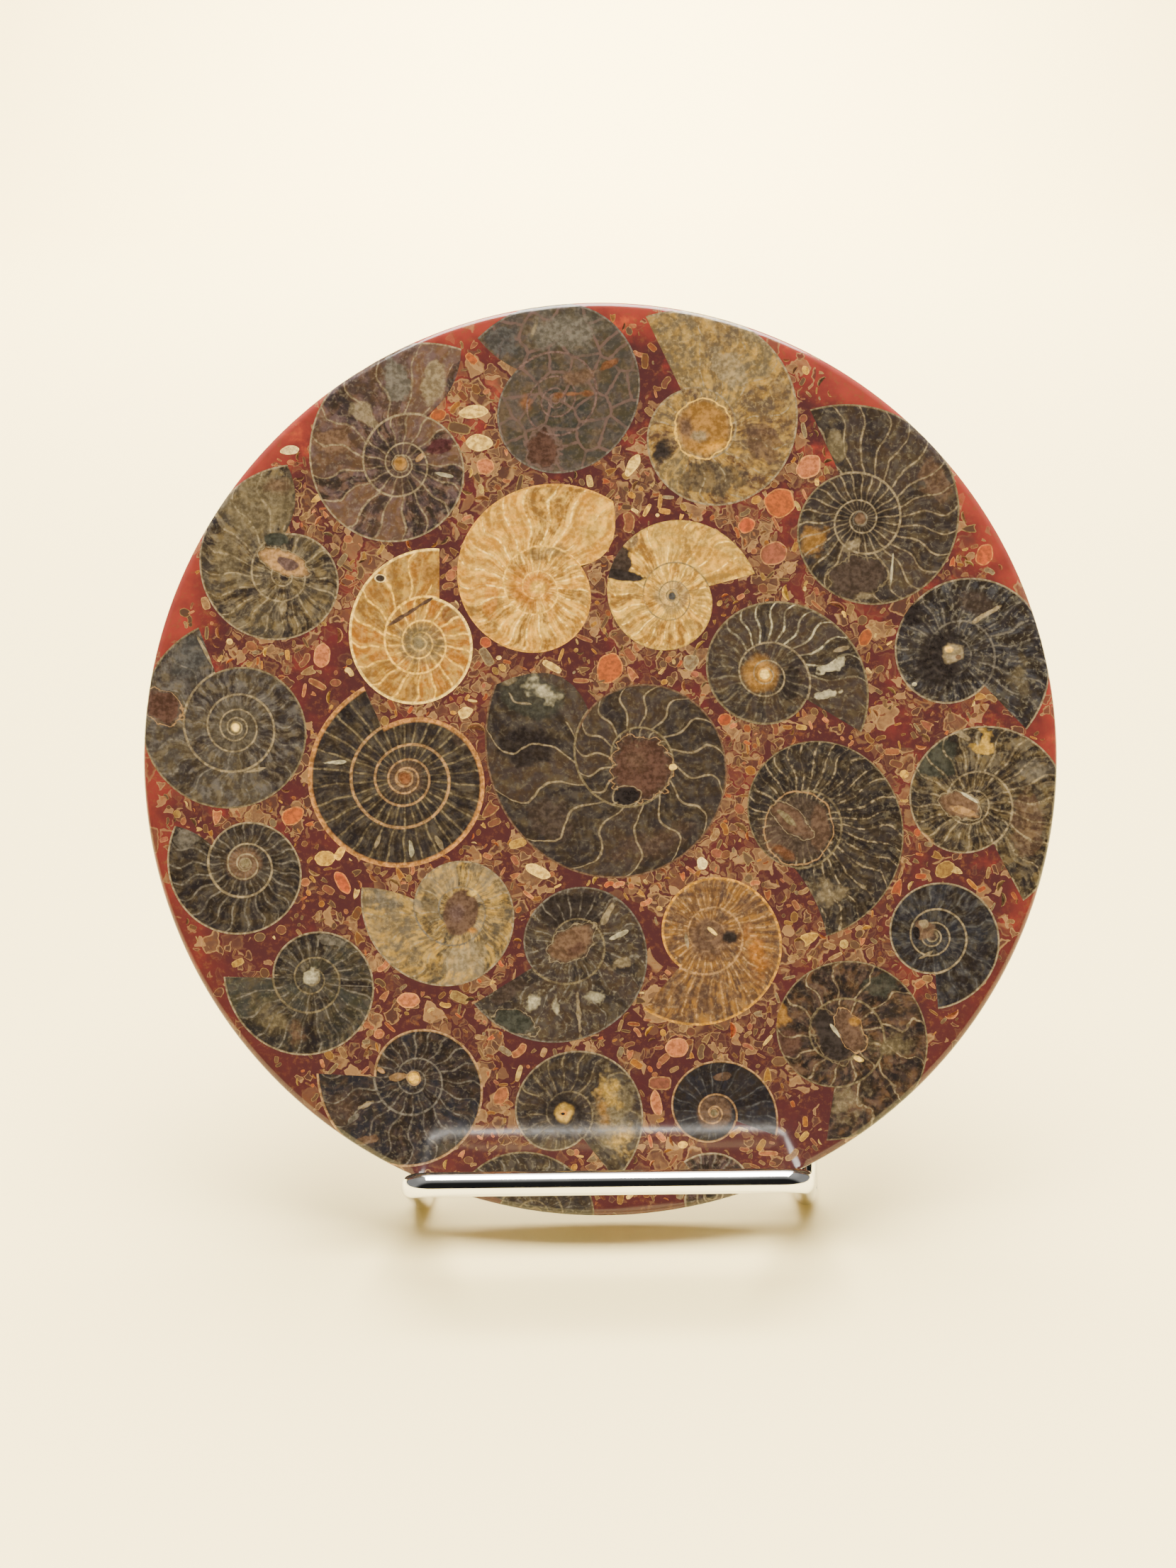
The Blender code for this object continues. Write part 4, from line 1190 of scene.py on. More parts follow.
    def wind(self, piece: Piece, columns: int) -> None:
        """Move the flat grid's vertices to the spiral, and write the whorl map.

        Args:
            piece: the grid, one unit wide.
            columns: how many cells it has along.
        """
        line = [self.radius(k * self.step - self.lead)
                for k in range(columns + 1 + 360 // self.step)]
        ahead = self.mouth_table()
        mesh = piece.data
        grid = np.empty(len(mesh.vertices) * 3)
        mesh.vertices.foreach_get("co", grid)
        grid = grid.reshape(-1, 3)
        column = np.rint((grid[:, 0] + 0.5) * columns).astype(int)
        across = np.rint((grid[:, 1] + 0.5) * self.rows) / self.rows
        places = np.zeros_like(grid)
        winding = np.zeros((len(grid), 2))
        for index, (k, share) in enumerate(zip(column, across)):
            back = k * self.step - self.lead
            limit = float(np.interp(share, *ahead)) if back < 0 or self.shell.bulge < 0 else back
            if back < limit:
                back = limit
                inner, outer = self.radius(back + 360.0), self.radius(back)
            else:
                inner, outer = line[k + 360 // self.step], line[k]
            x, y = self.polar(back, inner + (outer - inner) * share)
            places[index] = (x * MM, y * MM, 0.0)
            winding[index] = (back / 360.0, share)
        mesh.vertices.foreach_set("co", places.ravel())
        corners = np.empty(len(mesh.loops), dtype=np.int32)
        mesh.loops.foreach_get("vertex_index", corners)
        mesh.uv_layers[0].name = "Whorl"
        mesh.uv_layers["Whorl"].uv.foreach_set("vector", winding[corners].astype(
            np.float32).ravel())
        mesh.update()

    def trim(self, piece: Piece) -> None:
        """In edit mode, cut the flat section off along the plate's rim and bend it over.

        Args:
            piece: the flat section. The last of its cuts takes off what is past the rim.
        """
        shape = bmesh.from_edit_mesh(piece.data)
        start = (PLATE.radius - PLATE.rounding) * MM
        near = [math.degrees(math.atan2(v.co.y, v.co.x)) for v in shape.verts
                if math.hypot(v.co.x, v.co.y) > start]
        middle = math.degrees(math.atan2(self.shell.hub[1], self.shell.hub[0]))
        spans = [(angle - middle + 180.0) % 360.0 - 180.0 for angle in near]
        facet = 4.0
        shrink = math.cos(math.radians(facet / 2.0))
        angles = np.arange(middle + min(spans) - facet, middle + max(spans) + facet, facet)
        for share in self.rim_cuts:
            reach = (PLATE.radius - PLATE.rounding * share) * shrink * MM
            for angle in angles:
                way = Vector((math.cos(math.radians(angle)), math.sin(math.radians(angle)), 0.0))
                bpy.ops.mesh.select_all(action="SELECT")
                bpy.ops.mesh.bisect(plane_co=way * reach, plane_no=way, clear_outer=share == 0.0)
        shape = bmesh.from_edit_mesh(piece.data)
        for vert in shape.verts:
            vert.co.z = PLATE.drape(vert.co.x / MM, vert.co.y / MM) * MM
        bmesh.update_edit_mesh(piece.data)

    def thicken(self, piece: Piece) -> None:
        """In edit mode, draw the open edge back to the shell's depth, close it and leave.

        Args:
            piece: the section, open behind.
        """
        select_edges(piece, lambda edge: edge.is_boundary)
        extrude(0.0, 0.0, -self.depth * MM)
        shape = bmesh.from_edit_mesh(piece.data)
        for vert in shape.verts:
            if vert.select:
                vert.co.z = -self.depth * MM
        bmesh.update_edit_mesh(piece.data)
        bpy.ops.mesh.edge_face_add()
        face_outwards()

    def dress(self, piece: Piece) -> None:
        """Give the section its own calcite: chambers, septa, walls, patches and core.

        Args:
            piece: the section.
        """
        look, shell = self.shell.section, self.shell
        material, g, shader = new_material(f"{shell.name} polished calcite")
        face = PLATE.face_vector(g)
        whorl = g.add("UVMap", uv_map="Whorl").outputs[0]
        fill = g.group(self.nodes.fill, {
            "Whorl": whorl, "Face": face, "Hub": (*shell.hub, 0.0),
            "Seed": shell.number * self.seed_step,
            **{name.title(): getattr(look, name) for name in (
                "chambers", "lean", "belly", "snake", "waver", "dark", "mid", "light",
                "mottle", "grain", "fleck", "web")},
        }).outputs
        core = Patch(shell.hub, (look.core * 2.0, look.core * 2.0), 0.0, look.core_fill, False,
                     0.4, soft=0.45, outline=look.core_edge)
        colour = fill["Colour"]
        for patch in shell.patches:
            if patch.under:
                colour = self.lay(g, patch, colour, face, fill)
        colour = g.group(self.nodes.septa, {
            "Colour": colour, "Whorl": whorl, "Narrowing": self.narrowing,
            "From": look.shown[0], "To": look.shown[1],
            **{name: fill[name] for name in ("Place", "Radius", "Speckle", "Stray")},
            **{name.title(): getattr(look, name) for name in (
                "chambers", "line", "wall", "shell", "broken", "septa", "walls", "rind")},
        }).outputs["Colour"]
        for patch in (core, *shell.patches):
            if not patch.under:
                colour = self.lay(g, patch, colour, face, fill)
        g.feed(shader.inputs["Base Color"], colour)
        g.feed(shader.inputs["Roughness"],
               g.ramp(fill["Speckle"], 0.3, 0.75, CALCITE.smooth, CALCITE.dull))
        shader.inputs["IOR"].default_value = CALCITE.ior
        coat([piece], material)

    def lay(self, g: Graph, patch: Patch, colour: object, face: object,
            fill: object) -> object:
        """Lay one patch over a colour.

        Args:
            g: the material's graph.
            patch: the patch.
            colour: the colour so far.
            face: the place on the face, in millimetres.
            fill: the outputs of the chamber fill.

        Returns:
            The new colour.
        """
        half = [size / 2.0 for size in patch.size]
        return g.group(self.nodes.patch, {
            "Colour": colour, "Face": face, "Centre": (*patch.centre, 0.0),
            "Half": (*half, 1000.0), "Bearing": math.radians(patch.bearing),
            "Stray": fill["Stray"], "Speckle": fill["Speckle"], "Ragged": patch.ragged,
            "Soft": patch.soft, "Amount": patch.amount, "Fill": patch.fill,
            "Outlined": float(patch.outline is not None),
            "Edge": patch.outline_width / sum(half),
            "Outline": patch.outline or patch.fill,
        }).outputs["Colour"]


@dataclass
class Resin:
    """The cast plate: a turned disc with a rounded rim, and a pocket for every inlay."""

    segments: int = 240
    rim_steps: int = 5
    clear: float = 1.0          # the cutter starts this far above the face
    lap: float = 0.06           # pockets are this much smaller than the inlays, to leave no gap
    rubbles: tuple[tuple[float, float], ...] = ((0.30, 0.0), (0.62, 31.0))  # scale, shift

    def build(self, outlines: list[tuple[Line, float]]) -> Piece:
        """Turn the disc, round its rim and cut the pockets.

        Args:
            outlines: each inlay's outline on the face, and its depth, in millimetres.

        Returns:
            The finished object.
        """
        deselect_all()
        bpy.ops.mesh.primitive_circle_add(vertices=self.segments, radius=PLATE.radius * MM,
                                          fill_type="NGON")
        disc = named("cast_resin_plate")
        bpy.ops.object.mode_set(mode="EDIT")
        bpy.ops.mesh.select_all(action="SELECT")
        extrude(0.0, 0.0, -PLATE.thickness * MM)
        face_outwards()
        rounding = disc.modifiers.new("rounded rim", "BEVEL")
        rounding.width = PLATE.rounding * MM
        rounding.segments = self.rim_steps
        rounding.limit_method = "ANGLE"
        rounding.angle_limit = math.radians(60.0)
        bpy.ops.object.modifier_apply(modifier=rounding.name)
        cutter = self.pockets(outlines)
        take_up(disc)
        cut = disc.modifiers.new("pockets", "BOOLEAN")
        cut.operation = "DIFFERENCE"
        cut.solver = "EXACT"
        cut.object = cutter
        bpy.ops.object.modifier_apply(modifier=cut.name)
        bpy.data.objects.remove(cutter, do_unlink=True)
        disc.data.transform(PLATE.matrix)
        bpy.ops.object.shade_smooth_by_angle(angle=math.radians(30.0))
        return disc

    def pockets(self, outlines: list[tuple[Line, float]]) -> Piece:
        """Model every pocket as one block, and join them into a cutter.

        Args:
            outlines: each inlay's outline on the face, and its depth.

        Returns:
            The cutter.
        """
        blocks = []
        for line, depth in outlines:
            area = sum(a[0] * b[1] - b[0] * a[1] for a, b in zip(line, line[1:] + line[:1]))
            ring = line if area > 0 else line[::-1]
            blocks.append(flat(shrunk(ring, self.lap), self.clear, "pocket"))
            bpy.ops.object.mode_set(mode="EDIT")
            bpy.ops.mesh.select_all(action="SELECT")
            extrude(0.0, 0.0, -(depth + self.clear) * MM)
            face_outwards()
        return join(blocks, "pocket_cutter")

    def dress(self, piece: Piece) -> None:
        """Give the plate its cloudy red resin: maroon in the middle, with a painted glow near the
        rim.

        Args:
            piece: the plate.
        """
        material, g, shader = new_material("cloudy red resin")
        face = PLATE.face_vector(g)
        radius = g.length(g.vector("MULTIPLY", face, (1.0, 1.0, 0.0)))
        clouds = g.noise(face, 0.07, 3.0, 0.55)
        wisps = g.noise(face, 0.16, 4.0, 0.6)
        streaks = g.noise(face, 0.11, 5.0, 0.65)
        crumbs = g.noise(face, 0.95, 5.0, 0.7)
        # Painted light from above: the crimson clouds, the rim's glow and the streaks fade out
        # towards the bottom.
        height = g.ramp(g.add("SeparateXYZ", {0: face}).outputs["Y"], -60.0, 35.0, 0.06, 1.0)
        # Painted glow where light shines through the rounded rim, broken up by the wisps.
        rim = g.ramp(g.math("MULTIPLY_ADD", wisps, 16.0, radius), 74.0, 84.0, 0.0, 0.9)
        body = g.mix(g.times(g.ramp(clouds, 0.5, 0.68), height), Tone.MAROON, Tone.CRIMSON)
        body = g.mix(g.times(rim, height), body, Tone.EMBER)
        # The resin's own red and orange streaks, painted stronger towards the rim and the top as
        # part of the glow.
        inner = g.times(g.ramp(radius, 40.0, 72.0, 0.15, 0.8), height)
        body = g.mix(g.times(g.ramp(streaks, 0.5, 0.66), inner), body, Tone.EMBER)
        outer = g.times(g.ramp(radius, 50.0, 73.0, 0.0, 0.8), height)
        body = g.mix(g.times(g.ramp(streaks, 0.58, 0.72), outer), body, Tone.FLAME)
        packed = g.times(g.ramp(g.noise(face, 0.06, 2.0), 0.40, 0.54, 0.05, 1.0),
                         g.ramp(radius, 60.0, 74.0, 1.0, 0.25))
        for scale, shift in self.rubbles:
            body = self.rubble(g, face, body, packed, scale, shift)
        bits = g.times(g.ramp(crumbs, 0.5, 0.66), g.ramp(wisps, 0.4, 0.62, 0.2, 0.7))
        g.feed(shader.inputs["Base Color"], g.mix(bits, body, Tone.RUST))
        shader.inputs["Roughness"].default_value = RESIN.smooth
        shader.inputs["IOR"].default_value = RESIN.ior
        coat([piece], material)

    @staticmethod
    def rubble(g: Graph, face: object, body: object, packed: object, scale: float,
               shift: float) -> object:
        """Cloud the resin with one size of sunken shell rubble.

        Args:
            g: the material's graph.
            face: the place on the face, in millimetres.
            body: the resin's colour so far.
            packed: how thickly the rubble lies, from 0 to 1.
            scale: pieces to a millimetre.
            shift: an offset that keeps the sizes apart.

        Returns:
            The new colour.
        """
        place = g.vector("ADD", face, (shift, shift, 0.0))
        swirl = g.add("TexNoise", {"Vector": place, "Scale": 0.5, "Detail": 2.0})
        bent = g.vector("MULTIPLY_ADD", swirl.outputs["Color"], (2.2, 2.2, 0.0), place)
        cells = g.add("TexVoronoi", {"Vector": bent, "Scale": scale}, feature="F1").outputs
        edge = g.add("TexVoronoi", {"Vector": bent, "Scale": scale},
                     feature="DISTANCE_TO_EDGE").outputs["Distance"]
        dice = g.add("SeparateColor", {0: cells["Color"]}).outputs
        shown = g.math("LESS_THAN", dice["Red"], g.times(packed, 0.72))
        inside = g.times(g.ramp(edge, 0.05, 0.11), shown,
                         g.ramp(dice["Blue"], 0.0, 1.0, 0.15, 0.75))
        lip = g.times(g.ramp(edge, 0.05, 0.08), g.ramp(edge, 0.1, 0.17, 1.0, 0.0), shown,
                      g.ramp(dice["Blue"], 0.2, 1.0, 0.1, 0.8))
        grain = g.math("MULTIPLY_ADD", g.noise(place, 0.8, 3.0, 0.6), 0.8, dice["Green"])
        fill = g.mix(g.ramp(dice["Green"], 0.1, 0.7), Tone.LIVER, Tone.COCOA)
        fill = g.mix(g.ramp(grain, 0.85, 1.35), fill, Tone.SAND)
        return g.mix(lip, g.mix(inside, body, fill), Tone.SAND)


def shrunk(line: Line, distance: float) -> Line:
    """Move every edge of an outline inwards.

    Args:
        line: the outline, anticlockwise.
        distance: how far to move it.

    Returns:
        The smaller outline.
    """
    result = []
    count = len(line)
    for k in range(count):
        before, here, after = (Vector(line[(k + s) % count]) for s in (-1, 0, 1))
        into, out = (here - before).normalized(), (after - here).normalized()
        normal_in, normal_out = Vector((into.y, -into.x)), Vector((out.y, -out.x))
        middle = (normal_in + normal_out).normalized()
        result.append(tuple(here - middle * distance / max(0.5, middle.dot(normal_in))))
    return result


@dataclass(frozen=True)
class Chip:
    """One chip with a node of its own, in millimetres and degrees on the face."""

    name: str
    centre: tuple[float, float]
    size: tuple[float, float]
    bearing: float
    corners: int
    tone: Tone


CHIPS: tuple[Chip, ...] = (
    Chip("chip_orange_pebble", (29.3, 42.4), (5.2, 5.0), 20, 9, Tone.CARNELIAN),
    Chip("chip_pink_block", (34.0, 48.2), (5.0, 4.6), 45, 5, Tone.BLUSH),
    Chip("chip_orange_slab", (1.6, 15.6), (5.6, 4.6), 70, 7, Tone.CARNELIAN),
    Chip("chip_cream_bean", (-19.6, 52.2), (4.4, 3.0), 0, 8, Tone.CREAM),
    Chip("chip_pink_bean", (-18.6, 48.4), (3.4, 2.8), -20, 6, Tone.BLUSH),
    Chip("chip_cream_tooth", (-20.4, 57.2), (5.6, 2.4), 5, 6, Tone.CREAM),
    Chip("chip_grey_lozenge", (14.9, 16.6), (3.4, 2.8), 60, 5, Tone.BONE),
    Chip("chip_cream_rim", (-50.3, 51.0), (3.4, 1.6), 5, 7, Tone.IVORY),
    Chip("chip_cream_rod", (5.4, 48.6), (4.4, 2.2), 60, 5, Tone.CREAM),
    Chip("chip_orange_shard", (23.8, 38.8), (3.4, 2.8), 30, 5, Tone.FLAME),
    Chip("chip_amber", (62.6, 34.0), (4.0, 3.4), 60, 5, Tone.FLAME),
    Chip("chip_tan_leaf", (-45.4, 17.6), (4.2, 3.0), 80, 6, Tone.BLUSH),
    Chip("chip_orange_leaf", (-42.2, -19.6), (4.8, 2.4), -65, 6, Tone.FLAME),
    Chip("chip_cream_cube", (16.8, -16.4), (2.6, 2.2), 80, 5, Tone.IVORY),
    Chip("chip_cream_bar", (-10.0, -17.8), (5.0, 2.2), -25, 6, Tone.CREAM),
    Chip("chip_orange_knob", (-50.4, -8.6), (4.2, 3.0), 30, 7, Tone.CARNELIAN),
    Chip("chip_tan_heart", (12.8, -46.8), (4.4, 3.6), 0, 6, Tone.BLUSH),
    Chip("chip_tan_strip", (9.4, -56.0), (5.0, 1.9), 100, 7, Tone.BLUSH),
    Chip("chip_tan_flake", (-31.4, -39.0), (4.2, 3.0), 0, 6, Tone.BLUSH),
    Chip("chip_pink_cluster", (28.2, 34.2), (5.0, 4.4), 30, 7, Tone.ROSE),
    Chip("chip_cream_wedge", (-22.0, 8.3), (3.2, 2.0), 20, 5, Tone.CREAM),
)


def smoothed(line: Line, rounds: int = 2) -> Line:
    """Cut the corners of a closed outline, which keeps it inside the old one."""
    for _ in range(rounds):
        line = [(a[0] * s + b[0] * t, a[1] * s + b[1] * t)
                for a, b in zip(line, line[1:] + line[:1]) for s, t in ((0.8, 0.2), (0.2, 0.8))]
    return line


@dataclass
class ShellChips:
    """Chips of shell set in the resin: the large ones, and the many small ones."""

    depth: float = 2.4
    small_depth: float = 1.0
    proud: float = 0.006        # above the resin, and below the ammonites
    bevel: float = 0.28         # width of a large chip's rim, and of a small one's
    small_bevel: float = 0.14

    @staticmethod
    def outline(chip: Chip) -> Line:
        """Draw a large chip's uneven rounded outline, the same each time.

        Args:
            chip: the chip.

        Returns:
            Its outline on the face, anticlockwise.
        """
        dice = random.Random(chip.name)
        bearing = math.radians(chip.bearing)
        line = []
        for i in range(chip.corners):
            angle = WHOLE_TURN * (i + dice.uniform(-0.2, 0.2)) / chip.corners
            along = chip.size[0] / 2.0 * math.cos(angle) * dice.uniform(0.9, 1.1)
            across = chip.size[1] / 2.0 * math.sin(angle) * dice.uniform(0.9, 1.1)
            line.append((
                chip.centre[0] + along * math.cos(bearing) - across * math.sin(bearing),
                chip.centre[1] + along * math.sin(bearing) + across * math.cos(bearing)))
        return smoothed(line)

    def slab(self, line: Line, depth: float, rim: float, name: str) -> Piece:
        """Model one flat chip with a darker rim, its top at the face.

        Args:
            line: its anticlockwise outline, in millimetres.
            depth: how deep it is.
            rim: the rim's width on its top.
            name: the object's name.

        Returns:
            The chip, flat in the plate's own frame, with an edge attribute.
        """
        piece = flat(line, self.proud, name)
        edit_edges()
        bpy.ops.mesh.inset(thickness=rim * MM, depth=0.0)
        select_edges(piece, lambda edge: edge.is_boundary)
        extrude(0.0, 0.0, -depth * MM)
        bpy.ops.mesh.edge_face_add()
        face_outwards()
        inner = {index for face in piece.data.polygons if face.normal.z > 0.5
                 and len(face.vertices) > 4 for index in face.vertices}
        edge = piece.data.attributes.new("edge", "FLOAT", "POINT")
        edge.data.foreach_set("value", [0.0 if k in inner else 1.0
                                        for k in range(len(piece.data.vertices))])
        return piece

    def key_chip(self, chip: Chip) -> Piece:
        """Build a large chip in its place."""
        piece = self.slab(self.outline(chip), self.depth, self.bevel, chip.name + "_polished")
        tint(piece, chip.tone.value)
        piece.data.transform(PLATE.matrix)
        return piece

    def dress(self, pieces: list[Piece]) -> None:
        """Give every chip the polished shell finish, which takes its colour from the chip.

        Args:
            pieces: the chips, each with its tint and its edge as attributes.
        """
        material, g, shader = new_material("polished shell chip")
        face = PLATE.face_vector(g)
        own = g.add("Attribute", attribute_name="tint").outputs["Color"]
        edge = g.add("Attribute", attribute_name="edge").outputs["Fac"]
        grain = g.noise(face, 1.3, 4.0, 0.65)
        veins = g.noise(face, 0.55, 3.0, 0.5)
        deep = g.mix(0.5, g.mix(1.0, own, (0.5, 0.4, 0.36), "MULTIPLY"), Tone.COCOA)
        colour = g.mix(g.ramp(grain, 0.36, 0.62, 0.15, 0.9), deep, own)
        colour = g.mix(g.ramp(veins, 0.5, 0.7, 0.0, 0.6), colour, deep)
        colour = g.mix(g.times(edge, g.ramp(grain, 0.35, 0.6, 0.2, 0.85)), colour,
                       g.mix(0.35, own, Tone.CREAM))
        g.feed(shader.inputs["Base Color"], colour)
        g.feed(shader.inputs["Roughness"],
               g.ramp(grain, 0.3, 0.7, POLISHED_SHELL.smooth, POLISHED_SHELL.dull))
        shader.inputs["IOR"].default_value = POLISHED_SHELL.ior
        coat(pieces, material)


def tint(piece: Piece, colour: Colour) -> None:
    """Write one colour on all of a mesh, as its tint attribute."""
    mesh = piece.data
    layer = mesh.attributes.get("tint") or mesh.attributes.new("tint", "FLOAT_COLOR", "POINT")
    layer.data.foreach_set("color", [*colour, 1.0] * len(mesh.vertices))


class Family(Enum):
    """The small chips' colour families, with their tones and how many chips each has."""

    CREAM = ((Tone.CREAM, Tone.STRAW, Tone.BLUSH, Tone.BONE), 230)
    PINK = ((Tone.BLUSH, Tone.SAND, Tone.ROSE), 330)
    ORANGE = ((Tone.CARNELIAN, Tone.FLAME, Tone.GOLD, Tone.AMBER), 230)
    DEEP = ((Tone.RUST, Tone.COCOA, Tone.SAND, Tone.BROWN), 260)


@dataclass
class SmallChips:
    """Several hundred small chips scattered in the resin between the shells."""

    chips: ShellChips
    outlines: list[Line]
    seed: int = 41
    reach: float = 73.0         # no chip's middle lies farther out
    rim: float = 73.4           # and no chip's end
    tries: int = 260
    least: float = 0.34         # half length of the smallest chip
    most: float = 1.9           # and of the largest
    apart: float = 0.66         # least distance of two middles, as a share of the half lengths
    off_shells: float = 0.62    # least distance of a middle from a shell, by the half length
    margin: float = 4.0         # shells farther off than this aren't measured
    turned_away: float = 0.85   # how often a barer place turns a chip away
    deepest: float = 0.8        # how much the dark resin can cloud a chip
    halves: tuple[float, float] = (-0.3, 0.46)      # mean and spread of a half length's logarithm
    widths: tuple[float, float] = (0.75, 1.1)       # by the shape's own width
    levels: tuple[float, float] = (-0.002, 0.002)   # so that chips that touch never fight
    shades: tuple[float, float] = (0.7, 1.1)
    clear: tuple[tuple[float, float, float], ...] = (      # middles and radii of barer places
        (-28, -46, 6), (34, -55, 6), (8, 64, 3), (-18, 64, 3), (-47, 54, 4), (-60, -32, 5),
        (8, -33, 3), (-71, 25, 4))
    taken: list[tuple[float, float, float]] = field(default_factory=list)

    def __post_init__(self) -> None:
        """Seed the dice, and keep every outline as an array for quick distances."""
        self.dice = random.Random(self.seed)
        self.loops = [np.array(line) for line in self.outlines]

    def gap(self, x: float, y: float) -> float:
        """Measure from a point of the face to the nearest shell.

        Args:
            x, y: the point.

        Returns:
            The distance, below zero inside a shell.
        """
        best = math.inf
        for loop in self.loops:
            low, high = loop.min(axis=0) - self.margin, loop.max(axis=0) + self.margin
            if not (low[0] < x < high[0] and low[1] < y < high[1]):
                continue
            ends = np.roll(loop, -1, axis=0)
            along = ends - loop
            share = ((x - loop[:, 0]) * along[:, 0] + (y - loop[:, 1]) * along[:, 1]) / (
                (along ** 2).sum(axis=1) + 1e-12)
            near = loop + along * np.clip(share, 0.0, 1.0)[:, None]
            distance = float(np.hypot(near[:, 0] - x, near[:, 1] - y).min())
            crosses = (loop[:, 1] > y) != (ends[:, 1] > y)
            with np.errstate(divide="ignore", invalid="ignore"):
                at = loop[:, 0] + (y - loop[:, 1]) / along[:, 1] * along[:, 0]
            inside = int((crosses & (at > x)).sum()) % 2 == 1
            best = min(best, -distance if inside else distance)
        return best

    def prototypes(self) -> list[Piece]:
        """Model the shapes that the small chips come in, each about two millimetres across.

        Returns:
            The shapes.
        """
        shapes = {
            "nugget": [(1.0, 0.1), (0.5, 0.75), (-0.4, 0.8), (-1.0, 0.15), (-0.6, -0.7),
                       (0.45, -0.75)],
            "slab": [(1.0, 0.5), (0.1, 0.62), (-0.95, 0.5), (-1.0, -0.45), (0.9, -0.55)],
            "shard": [(1.0, 0.0), (0.2, 0.55), (-0.9, 0.65), (-0.6, -0.1), (-0.9, -0.5),
                      (0.3, -0.35)],
            "rod": [(1.0, 0.22), (0.0, 0.36), (-1.0, 0.24), (-0.95, -0.22), (0.1, -0.3),
                    (0.98, -0.25)],
            "bean": [(0.95, 0.3), (0.5, 0.62), (-0.45, 0.66), (-1.0, 0.2), (-0.7, -0.35),
                     (0.0, -0.1), (0.7, -0.25)],
            "crescent": [(1.0, -0.15), (0.75, 0.42), (0.0, 0.72), (-0.75, 0.42), (-1.0, -0.15),
                         (-0.5, 0.16), (0.0, 0.3), (0.5, 0.16)],
        }
        return [self.chips.slab(smoothed(line, 1), self.chips.small_depth,
                                self.chips.small_bevel, name)
                for name, line in shapes.items()]

    def place(self) -> tuple[float, float, float] | None:
        """Find room for one chip.

        Returns:
            Its middle and half length, or None after many misses.
        """
        for _ in range(self.tries):
            angle = self.dice.uniform(0.0, WHOLE_TURN)
            reach = self.reach * math.sqrt(self.dice.random())
            x, y = reach * math.cos(angle), reach * math.sin(angle)
            half = min(self.most, max(self.least, self.dice.lognormvariate(*self.halves)))
            if reach + half > self.rim or self.gap(x, y) < half * self.off_shells:
                continue
            if any(math.hypot(x - a, y - b) < r and self.dice.random() < self.turned_away
                   for a, b, r in self.clear):
                continue
            if any(math.hypot(x - a, y - b) < (half + r) * self.apart
                   for a, b, r in self.taken):
                continue
            return x, y, half
        return None

    def build(self, family: Family, shapes: list[Piece]) -> Piece:
        """Copy, turn, tint and join one family of small chips.

        Args:
            family: its colours and number.
            shapes: the prototypes.

        Returns:
            The joined object.
        """
        tones, count = family.value
        copies = []
        for _ in range(count):
            found = self.place()
            if found is None:
                break
            x, y, half = found
            self.taken.append(found)
            model = self.dice.choice(shapes)
            copy = model.copy()
            copy.data = model.data.copy()
            bpy.context.collection.objects.link(copy)
            turned = Matrix.Rotation(self.dice.uniform(0.0, WHOLE_TURN), 4, "Z")
            sized = Matrix.Diagonal((half, half * self.dice.uniform(*self.widths), 1.0, 1.0))
            level = self.dice.uniform(*self.levels)
            copy.data.transform(Matrix.Translation((x * MM, y * MM, level * MM))
                                @ turned @ sized)
            sunk = self.dice.random() ** 1.2 * self.deepest
            base = self.dice.choice(tones).value
            shade = self.dice.uniform(*self.shades)
            tint(copy, tuple(c * shade * (1.0 - sunk) + r * sunk
                             for c, r in zip(base, Tone.LIVER.value)))
            copies.append(copy)
        whole = join(copies, f"small_{family.name.lower()}_chips")
        whole.data.transform(PLATE.matrix)
        return whole


# ---- Stand ----

